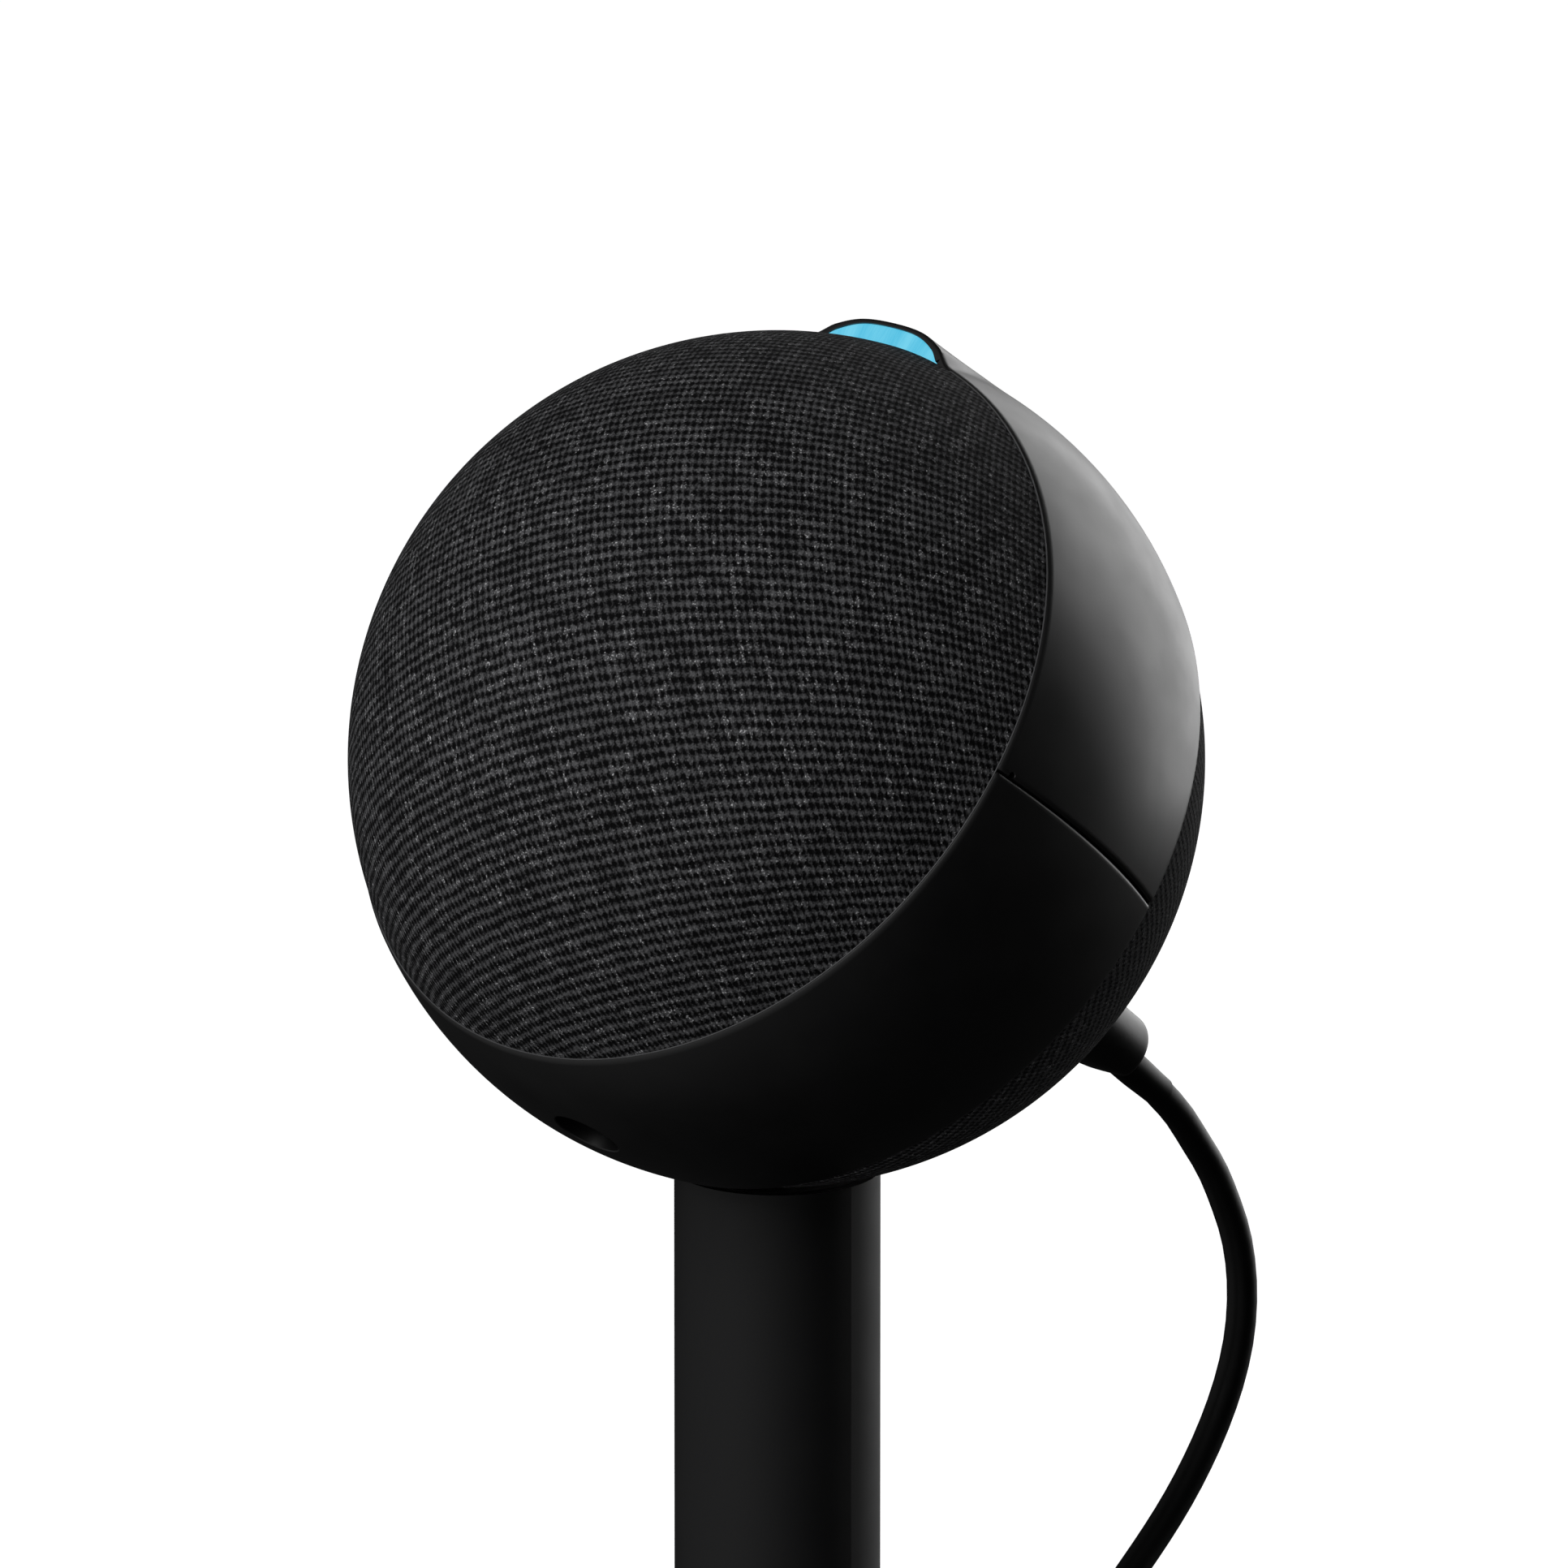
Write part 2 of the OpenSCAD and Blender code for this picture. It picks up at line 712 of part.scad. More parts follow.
// Strap round all the turns on the side towards the base
module cord_tie() {
    strap = 0.55;
    color("#2a2a2b") translate([coil_x - 5, coil_y - coil_outer_r - strap, 0]) difference() {
        cube([10, coil_outer_r - coil_inner_r + 2 * strap + 2.5, coil_h + coil_lift + strap]);
        translate([-1, strap, coil_lift - 0.03])
            cube([12, coil_outer_r - coil_inner_r + 2.5, coil_h + 0.06]);
    }
}

module cord_lead() {
    color("#151516") swept_tube(lead_route, cord_r, [0, 0, 1]);
}

module adapter_body() {
    round_r = 5;
    color("#121213") difference() {
        union() {
            translate([adapter_x, adapter_y + adapter_l / 2, 0]) {
                hull() for (sx = [-1, 1], sy = [-1, 1])
                    translate([sx * (adapter_w / 2 - round_r), sy * (adapter_l / 2 - round_r), 0])
                        cylinder(r = round_r, h = adapter_h, $fn = 32);
            }
            translate([adapter_x, adapter_y + adapter_l - 0.5, adapter_exit_z])
                rotate([-90, 0, 0]) cylinder(r = 3, h = 8.5);
        }
        for (s = [-1, 1]) translate([adapter_x + s * 6.35 - 0.75, adapter_y - 1, adapter_h / 2 - 3.15])
            cube([1.5, 5, 6.3]);
    }
}

module adapter_prongs() {
    color("#c9b26a") for (s = [-1, 1])
        translate([adapter_x + s * 6.35 - 0.74, adapter_y - 17, adapter_h / 2 - 3.14]) cube([1.48, 20.9, 6.28]);
}

upper_shell();
lower_shell();
front_grille();
front_fabric();
rear_housing();
rear_fabric();
light_lens();
light_guide();
led_board();
front_baffle();
sound_chamber();
driver_frame();
driver_magnet();
driver_yoke();
driver_spider();
driver_surround();
driver_cone();
voice_coil();
driver_screws();
speaker_leads();
main_board();
board_shield();
heat_spreader();
board_screws();
mic_boards();
button_board();
button_switches();
mic_off_button();
volume_down_button();
volume_up_button();
action_button();
power_jack();
tripod_insert();
keeper_plate();
plug_body();
plug_barrel();
plug_relief();
cord_loop();
pole_tube();
pole_collar();
cradle_cup();
cradle_magnet();
cradle_pad();
cord_gland();
pole_cable();
base_plate();
base_cover();
base_pad();
bearing_bush();
thrust_washer();
base_screws();
outlet_grommet();
base_cable();
cord_tail();
cord_coil();
cord_tie();
cord_lead();
adapter_body();
adapter_prongs();
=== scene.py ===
"""Studio scene of a ball-shaped smart speaker on a pole stand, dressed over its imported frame.

Sizes are in millimetres until a mesh is made, and then in metres in the row frame: z up, the origin in
the middle of the base's underside and the front towards -y. The ball has axes of its own, with z along
its front axis and y towards the crest, and angles round the front axis are counted from the crest.
"""

from __future__ import annotations

import json
import logging
import math
from dataclasses import dataclass
from enum import Enum
from functools import partial
from typing import Sequence

import bmesh
import bpy
import numpy as np
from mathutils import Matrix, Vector

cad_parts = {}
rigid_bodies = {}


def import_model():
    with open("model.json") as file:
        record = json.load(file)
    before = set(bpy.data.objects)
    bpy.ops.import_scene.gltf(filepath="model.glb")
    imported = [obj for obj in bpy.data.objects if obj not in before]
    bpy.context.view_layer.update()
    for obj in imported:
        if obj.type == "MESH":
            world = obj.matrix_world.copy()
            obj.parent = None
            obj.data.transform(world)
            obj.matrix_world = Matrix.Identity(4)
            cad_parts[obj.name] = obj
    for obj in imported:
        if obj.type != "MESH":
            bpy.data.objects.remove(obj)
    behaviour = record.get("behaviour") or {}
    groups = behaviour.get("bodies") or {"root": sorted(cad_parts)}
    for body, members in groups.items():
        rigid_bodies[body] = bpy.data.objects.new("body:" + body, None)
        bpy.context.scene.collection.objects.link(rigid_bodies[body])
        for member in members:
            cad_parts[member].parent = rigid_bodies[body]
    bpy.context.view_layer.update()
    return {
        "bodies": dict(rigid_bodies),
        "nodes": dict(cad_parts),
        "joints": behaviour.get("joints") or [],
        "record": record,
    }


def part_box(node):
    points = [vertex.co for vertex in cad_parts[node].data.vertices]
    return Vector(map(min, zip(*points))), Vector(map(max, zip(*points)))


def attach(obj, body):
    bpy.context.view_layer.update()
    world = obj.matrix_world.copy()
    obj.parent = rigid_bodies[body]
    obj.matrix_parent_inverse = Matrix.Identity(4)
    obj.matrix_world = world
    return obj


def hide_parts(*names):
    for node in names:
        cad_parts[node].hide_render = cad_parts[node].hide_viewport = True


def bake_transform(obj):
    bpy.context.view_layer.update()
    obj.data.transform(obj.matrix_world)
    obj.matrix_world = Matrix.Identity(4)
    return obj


LOG = logging.getLogger("scene")
Material = bpy.types.Material
Socket = bpy.types.NodeSocket
Surface = tuple[np.ndarray, list[list[int]]]
MM = 0.001
BALL_Z = 290.0
FRONT_TURN = math.radians(51.0)


# ---------------------------------------------------------------- numbers and surfaces


def linear(code: str) -> tuple[float, float, float, float]:
    """Turns an sRGB hex colour linear.

    Args:
        code: colour such as "#1b1b1c".

    Returns:
        Linear red, green and blue, and an alpha of one.
    """
    parts = [int(code[i : i + 2], 16) / 255 for i in (1, 3, 5)]
    light = [c / 12.92 if c <= 0.04045 else ((c + 0.055) / 1.055) ** 2.4 for c in parts]
    return (light[0], light[1], light[2], 1.0)


def smooth_step(value: np.ndarray, low: float, high: float) -> np.ndarray:
    """Runs smoothly from 0 at low to 1 at high.

    Args:
        value: where to read it.
        low: value that gives 0.
        high: value that gives 1.

    Returns:
        The step, the shape of value.
    """
    t = np.clip((np.asarray(value, float) - low) / (high - low), 0, 1)
    return t * t * (3 - 2 * t)


def in_row(points: np.ndarray) -> np.ndarray:
    """Moves points from the ball's own axes to the row frame.

    Args:
        points: any array of points, in millimetres.

    Returns:
        The same points in the row frame, still in millimetres.
    """
    x, y, z = points[..., 0], points[..., 1], points[..., 2]
    c, s = math.cos(FRONT_TURN), math.sin(FRONT_TURN)
    return np.stack([x, y * c - z * s, y * s + z * c + BALL_Z], axis=-1)


def radial(points: np.ndarray, latitude: float, around: float) -> np.ndarray:
    """Turns points' z axis outwards from the ball's centre.

    Args:
        points: points in millimetres.
        latitude: degrees towards the front from the ball's widest ring.
        around: degrees round the front axis from the crest.

    Returns:
        The points in the ball's own axes.
    """
    tip, turn = math.radians(latitude - 90), math.radians(-around)
    x, y, z = points[..., 0], points[..., 1], points[..., 2]
    y, z = y * math.cos(tip) - z * math.sin(tip), y * math.sin(tip) + z * math.cos(tip)
    x, y = x * math.cos(turn) - y * math.sin(turn), x * math.sin(turn) + y * math.cos(turn)
    return np.stack([x, y, z], axis=-1)


def quads(rows: int, cols: int, wrap_rows: bool = False, wrap_cols: bool = False) -> list[list[int]]:
    """Faces of a grid of points stored row by row.

    Args:
        rows: number of rows.
        cols: points in a row.
        wrap_rows: whether the last row joins the first.
        wrap_cols: whether each row is a closed ring.

    Returns:
        Four point numbers for each face.
    """
    i, j = np.meshgrid(
        np.arange(rows if wrap_rows else rows - 1), np.arange(cols if wrap_cols else cols - 1), indexing="ij"
    )
    down, right = (i + 1) % rows, (j + 1) % cols
    found = np.stack([i * cols + j, i * cols + right, down * cols + right, down * cols + j], axis=-1)
    return found.reshape(-1, 4).tolist()


def ring_ends(rows: int, cols: int) -> list[list[int]]:
    """Faces that close the first and the last ring of a grid.

    Args:
        rows: number of rings.
        cols: points in a ring.

    Returns:
        Two many-sided faces.
    """
    return [list(range(cols)), list(range((rows - 1) * cols, rows * cols))]


def lathe(profile: np.ndarray, sides: int) -> Surface:
    """Turns a profile round the z axis, with both ends closed.

    Args:
        profile: rows of distance from the axis and height.
        sides: points in each ring.

    Returns:
        The points and the faces.
    """
    turn = np.arange(sides) * 2 * np.pi / sides
    rho, z = profile[:, :1], profile[:, 1:]
    points = np.stack([rho * np.sin(turn), rho * np.cos(turn), z + 0 * turn], axis=-1)
    return points.reshape(-1, 3), quads(len(profile), sides, wrap_cols=True) + ring_ends(len(profile), sides)


def tube(path: np.ndarray, radius: np.ndarray | float, across: Sequence[float], sides: int) -> tuple:
    """Sweeps a circle along a line.

    Args:
        path: points of the line.
        radius: one radius, or one for each point.
        across: direction that the line never runs along, which keeps the rings from turning.
        sides: points in each ring.

    Returns:
        The points and the faces.
    """
    ahead = np.gradient(path, axis=0)
    ahead /= np.linalg.norm(ahead, axis=1, keepdims=True)
    side = np.cross(ahead, np.asarray(across, float))
    side /= np.linalg.norm(side, axis=1, keepdims=True)
    up = np.cross(side, ahead)
    turn = np.arange(sides) * 2 * np.pi / sides
    reach = np.broadcast_to(radius, len(path)).reshape(-1, 1, 1)
    ring = side[:, None] * np.cos(turn)[None, :, None] + up[:, None] * np.sin(turn)[None, :, None]
    points = (path[:, None] + reach * ring).reshape(-1, 3)
    return points, quads(len(path), sides, wrap_cols=True) + ring_ends(len(path), sides)


def rounded_box(size: Sequence[float], radius: float, steps: int = 6) -> Surface:
    """Makes a box with round edges, centred on the origin.

    Each point of a box is pulled to the radius from an inner box.

    Args:
        size: lengths along x, y and z.
        radius: radius of every edge.
        steps: faces across each round edge.

    Returns:
        The points and the faces.
    """
    half = np.asarray(size, float) / 2
    found, faces = [], []
    for axis in range(3):
        u, v = (axis + 1) % 3, (axis + 2) % 3
        edge = radius * (1 - np.cos(np.linspace(0, np.pi / 2, steps + 1)))
        lines = [np.concatenate([edge - half[k], (half[k] - edge)[::-1]]) for k in (u, v)]
        a, b = np.meshgrid(*lines, indexing="ij")
        for side in (-1, 1):
            points = np.zeros((*a.shape, 3))
            points[..., u], points[..., v], points[..., axis] = a, b, side * half[axis]
            core = np.clip(points, radius - half, half - radius)
            out = points - core
            out /= np.linalg.norm(out, axis=-1, keepdims=True)
            start = sum(len(f) for f in found)
            found.append((core + radius * out).reshape(-1, 3))
            faces += [[n + start for n in f] for f in quads(*a.shape)]
    return np.concatenate(found), faces


def joined(parts: Sequence[Surface]) -> Surface:
    """Puts several surfaces into one.

    Args:
        parts: points and faces of each.

    Returns:
        The points and faces of all.
    """
    points, faces = [], []
    for more, theirs in parts:
        start = sum(len(p) for p in points)
        points.append(more)
        faces += [[n + start for n in f] for f in theirs]
    return np.concatenate(points), faces


def eased(route: Sequence[Sequence[float]], step: float) -> np.ndarray:
    """Draws a smooth line through a route's points, a Catmull-Rom curve, with points at an even spacing.

    Args:
        route: points that the line passes through.
        step: spacing.

    Returns:
        Points of the line.
    """
    p = np.asarray(route, float)
    p = np.concatenate([[2 * p[0] - p[1]], p, [2 * p[-1] - p[-2]]])
    t = np.linspace(0, 1, 24, endpoint=False)[:, None]
    line = [
        0.5 * (2 * b + (c - a) * t + (2 * a - 5 * b + 4 * c - d) * t**2 + (3 * b - a - 3 * c + d) * t**3)
        for a, b, c, d in zip(p[:-3], p[1:-2], p[2:-1], p[3:])
    ]
    fine = np.concatenate([*line, p[-2:-1]])
    along = np.concatenate([[0], np.cumsum(np.linalg.norm(np.diff(fine, axis=0), axis=1))])
    even = np.linspace(0, along[-1], max(3, round(along[-1] / step) + 1))
    return np.stack([np.interp(even, along, fine[:, k]) for k in range(3)], axis=-1)


def piece(
    name: str,
    surface: Surface,
    material: Material,
    pattern: np.ndarray | None = None,
    sharp: float = 32.0,
) -> bpy.types.Object:
    """Makes a closed smooth piece from a surface in the row frame.

    Args:
        name: its name.
        surface: points in millimetres, and faces.
        material: its finish.
        pattern: two pattern coordinates for each point.
        sharp: edges that bend more than this, in degrees, stay sharp.

    Returns:
        The new object, in the scene.
    """
    points, faces = surface
    mesh = bpy.data.meshes.new(name)
    mesh.from_pydata((points * MM).tolist(), [], faces)
    work = bmesh.new()
    work.from_mesh(mesh)
    layer = None
    if pattern is not None:
        layer = work.loops.layers.uv.new("pattern")
        place = pattern.tolist()
        for face in work.faces:
            for loop in face.loops:
                loop[layer].uv = place[loop.vert.index]
    bmesh.ops.remove_doubles(work, verts=work.verts, dist=1e-7)
    bmesh.ops.recalc_face_normals(work, faces=work.faces)
    if work.calc_volume(signed=True) < 0:
        bmesh.ops.reverse_faces(work, faces=work.faces)
    work.to_mesh(mesh)
    work.free()
    mesh.shade_smooth()
    mesh.set_sharp_from_angle(angle=math.radians(sharp))
    mesh.materials.append(material)
    made = bpy.data.objects.new(name, mesh)
    bpy.context.scene.collection.objects.link(made)
    LOG.info("%s: %d points", name, len(mesh.vertices))
    return made


def carved(target: bpy.types.Object, tools: Surface, sharp: float = 32.0) -> None:
    """Cuts closed tools out of a piece for good.

    Args:
        target: piece to cut.
        tools: points and faces of tools that stay clear of each other.
        sharp: edges that bend more than this, in degrees, stay sharp.
    """
    cutter = piece(target.name + "_tools", tools, target.data.materials[0])
    cut = target.modifiers.new("cut", "BOOLEAN")
    cut.operation, cut.solver, cut.object = "DIFFERENCE", "EXACT", cutter
    whole = target.evaluated_get(bpy.context.evaluated_depsgraph_get())
    mesh = bpy.data.meshes.new_from_object(whole)
    target.modifiers.remove(cut)
    target.data = mesh
    bpy.data.objects.remove(cutter)
    mesh.shade_smooth()
    mesh.set_sharp_from_angle(angle=math.radians(sharp))


# ---------------------------------------------------------------- finishes


def node(material: Material, kind: str, inputs: dict | None = None, **settings) -> bpy.types.Node:
    """Adds one shader node.

    Args:
        material: material that gets it.
        kind: the node's type.
        inputs: constant or output socket for each input, by name or number.
        settings: the node's own properties.

    Returns:
        The node.
    """
    tree = material.node_tree
    made = tree.nodes.new(kind)
    for key, value in settings.items():
        setattr(made, key, value)
    for key, value in (inputs or {}).items():
        if isinstance(value, Socket):
            tree.links.new(value, made.inputs[key])
        else:
            made.inputs[key].default_value = value
    return made


def math_node(material: Material, operation: str, *values) -> Socket:
    """Adds a Math node.

    Args:
        material: material that gets it.
        operation: what it does.
        values: constants or sockets, in order.

    Returns:
        Its output.
    """
    return node(material, "ShaderNodeMath", dict(enumerate(values)), operation=operation).outputs[0]


def noise(material: Material, size: float, detail: float = 2.0, vector=None) -> Socket:
    """Adds noise whose lumps have a real size.

    Args:
        material: material that gets it.
        size: size of a lump in millimetres, or in the vector's own unit if there is one.
        detail: finer layers.
        vector: socket to read, or the object's own coordinates.

    Returns:
        Its grey output.
    """
    scale = 1 / size
    if vector is None:
        vector = node(material, "ShaderNodeTexCoord").outputs["Object"]
        scale /= MM
    inputs = {"Vector": vector, "Scale": scale, "Detail": detail}
    return node(material, "ShaderNodeTexNoise", inputs).outputs[0]


def remapped(material: Material, value, low: float, high: float, start: float = 0.3, end: float = 0.7):
    """Stretches a socket's range.

    Args:
        material: material that gets the node.
        value: socket to read.
        low: result at start.
        high: result at end.
        start: value that gives low.
        end: value that gives high.

    Returns:
        The new socket.
    """
    inputs = {"Value": value, "From Min": start, "From Max": end, "To Min": low, "To Max": high}
    return node(material, "ShaderNodeMapRange", inputs).outputs[0]


def blended(material: Material, factor, dark, light) -> Socket:
    """Mixes two colours.

    Args:
        material: material that gets the node.
        factor: socket from 0 to 1.
        dark: colour or socket at 0.
        light: colour or socket at 1.

    Returns:
        The colour's socket.
    """
    inputs = {"Factor": factor, 6: dark, 7: light}
    return node(material, "ShaderNodeMix", inputs, data_type="RGBA").outputs[2]


def blank(name: str) -> tuple[Material, bpy.types.Node]:
    """Starts a material.

    Args:
        name: the real material's name.

    Returns:
        The material and its main shader.
    """
    material = bpy.data.materials.new(name)
    material.use_nodes = True
    return material, material.node_tree.nodes["Principled BSDF"]


def plug_in(material: Material, shader: bpy.types.Node, **inputs) -> None:
    """Sets or links a shader's inputs.

    Args:
        material: the material.
        shader: its shader.
        inputs: constant or socket for each input, with _ for a space.
    """
    for key, value in inputs.items():
        socket = shader.inputs[key.replace("_", " ")]
        if isinstance(value, Socket):
            material.node_tree.links.new(value, socket)
        else:
            socket.default_value = value


@dataclass(frozen=True)
class Finish:
    """Moulded, cast or rolled surface: two close colours in patches, fine grain and uneven gloss."""

    name: str
    dark: str
    light: str
    gloss_low: float
    gloss_high: float
    grain: float = 0.4
    height: float = 0.006
    patch: float = 9.0
    metal: float = 0.0
    reflection: float = 0.5
    clear: float = 0.0

    def make(self) -> Material:
        """Builds the material.

        Returns:
            The material.
        """
        material, shader = blank(self.name)
        maths = partial(math_node, material)
        patches = noise(material, self.patch, 3.0)
        grain = noise(material, self.grain, 2.0)
        relief = {"Height": grain, "Strength": 1.0, "Distance": self.height * MM}
        bump = node(material, "ShaderNodeBump", relief)
        both = maths("ADD", maths("MULTIPLY", patches, 0.6), grain)
        share = remapped(material, both, 0, 1, 0.5, 1.1)
        colour = blended(material, share, linear(self.dark), linear(self.light))
        plug_in(
            material,
            shader,
            Base_Color=colour,
            Roughness=remapped(material, patches, self.gloss_low, self.gloss_high),
            Metallic=self.metal,
            Specular_IOR_Level=self.reflection,
            Transmission_Weight=self.clear,
            Normal=bump.outputs[0],
        )
        return material


@dataclass(frozen=True)
class Weave:
    """Open weave of thick yarn: ridges along the rows, bars between them and a pit at each crossing, darkened
    with painted shade.

    The pattern coordinates count rows and columns of the weave. Each yarn is brighter and darker along its
    length, its raised crossings and ridges are lightened with painted light, and a few threads carry bright
    specks that are partly light fibres and partly painted glints.
    """

    name: str
    # The pit colour is painted shade in the weave's holes; the top colour is partly the yarn's own lighter tone
    # and partly painted light on the raised yarn; the fleck colour is light fibres and painted glints
    pit: str
    yarn: str
    top: str
    fleck_and_glint: str
    depth: float = 0.16
    pit_start: float = 0.1
    pit_end: float = 0.62
    # Sizes of the thread's unevenness, the fibres and the worn patches, in millimetres
    slub: float = 0.8
    fibre: float = 0.24
    patch: float = 7.0
    # Size and reach, in rows or columns, of each direction's sway
    sways: tuple[tuple[float, float], ...] = ((2.6, 0.5), (0.7, 0.75))
    # What crossings, ridges, threads, fibres, chance and patches add to the brightness, and its range; the
    # crossings and ridges add painted light to the raised yarn
    shares: tuple[float, ...] = (0.9, 0.2, 1.0, 3.4, 0.5, 0.6)
    shade_range: tuple[float, float] = (2.5, 4.3)

    def make(self) -> Material:
        """Builds the material.

        Returns:
            The material.
        """
        material, shader = blank(self.name)
        maths = partial(math_node, material)
        place = node(material, "ShaderNodeUVMap", uv_map="pattern").outputs[0]
        split = node(material, "ShaderNodeSeparateXYZ", {"Vector": place})
        sway = [
            maths("MULTIPLY", maths("SUBTRACT", noise(material, size, 1.0), 0.5), reach)
            for size, reach in self.sways
        ]
        row = maths("ADD", split.outputs["X"], sway[0])
        column = maths("ADD", split.outputs["Y"], sway[1])
        along = [maths("COSINE", maths("MULTIPLY", p, math.pi)) for p in (row, column)]
        over = [maths("MULTIPLY", wave, wave) for wave in along]
        gaps = [maths("SUBTRACT", 1.0, wave) for wave in over]
        ragged = remapped(material, noise(material, 0.45, 1.0), 0.55, 1.25)
        pit = maths("MULTIPLY", maths("MULTIPLY", *gaps), ragged)
        knot = maths("MULTIPLY", *over)
        body = maths("SUBTRACT", 1.0, remapped(material, pit, 0, 1, self.pit_start, self.pit_end))
        cell = [maths("ROUND", phase) for phase in (row, column)]
        cell_place = node(material, "ShaderNodeCombineXYZ", {"X": cell[0], "Y": cell[1]}).outputs[0]
        chance = node(material, "ShaderNodeTexWhiteNoise", {"Vector": cell_place}).outputs[0]
        yarn_place = node(
            material, "ShaderNodeCombineXYZ", {"X": row, "Y": maths("MULTIPLY", column, 0.25)}
        ).outputs[0]
        slub = noise(material, self.slub, 2.0, yarn_place)
        fibre = noise(material, self.fibre, 2.0)
        patch = noise(material, self.patch, 2.0)
        # Painted light: the crossings and the ridges along the rows come out lighter, as if lit on their tops
        shade = maths("MULTIPLY", knot, self.shares[0])
        for more, share in zip((over[0], slub, fibre, chance, patch), self.shares[1:]):
            shade = maths("MULTIPLY_ADD", more, share, shade)
        lit = remapped(material, shade, 0, 1, *self.shade_range)
        threads = blended(material, lit, linear(self.yarn), linear(self.top))
        # Bright specks off the pits: partly light fibres, partly painted glints
        bright = remapped(material, fibre, 0, 1, 0.60, 0.72)
        rare = maths("MULTIPLY", bright, remapped(material, chance, 0, 1, 0.55, 0.9))
        rare = maths("MULTIPLY", rare, body)
        flecked_and_glinting = blended(material, rare, threads, linear(self.fleck_and_glint))
        # Painted shade: the pits take the dark pit colour
        colour = blended(material, body, linear(self.pit), flecked_and_glinting)
        height = maths("MULTIPLY_ADD", knot, 0.3, body)
        height = maths("MULTIPLY_ADD", fibre, 0.5, height)
        relief = {"Height": height, "Strength": 1.0, "Distance": self.depth * MM}
        bump = node(material, "ShaderNodeBump", relief)
        plug_in(
            material,
            shader,
            Base_Color=colour,
            Roughness=remapped(material, fibre, 0.75, 0.95),
            Specular_IOR_Level=0.07,
            Normal=bump.outputs[0],
        )
        return material


@dataclass(frozen=True)
class LitLens:
    """Milky window lit from behind, with faint upright streaks from the lamps and the guide."""

    name: str
    dim: str
    bright: str
    glow: float = 0.95

    def make(self) -> Material:
        """Builds the material.

        Returns:
            The material.
        """
        material, shader = blank(self.name)
        maths = partial(math_node, material)
        place = node(material, "ShaderNodeUVMap", uv_map="pattern").outputs[0]
        split = node(material, "ShaderNodeSeparateXYZ", {"Vector": place})
        low = maths("MULTIPLY", split.outputs["Y"], 0.08)
        across = node(material, "ShaderNodeCombineXYZ", {"X": split.outputs["X"], "Y": low}).outputs[0]
        streaks = noise(material, 0.22, 1.0, across)
        lamps = noise(material, 2.4, 0.0, across)
        both = maths("ADD", maths("MULTIPLY", streaks, 0.55), lamps)
        share = remapped(material, both, 0, 1, 0.55, 1.0)
        colour = blended(material, share, linear(self.dim), linear(self.bright))
        plug_in(
            material,
            shader,
            Base_Color=linear("#1c3a44"),
            Roughness=remapped(material, streaks, 0.28, 0.36),
            Emission_Color=colour,
            Emission_Strength=self.glow,
        )
        return material


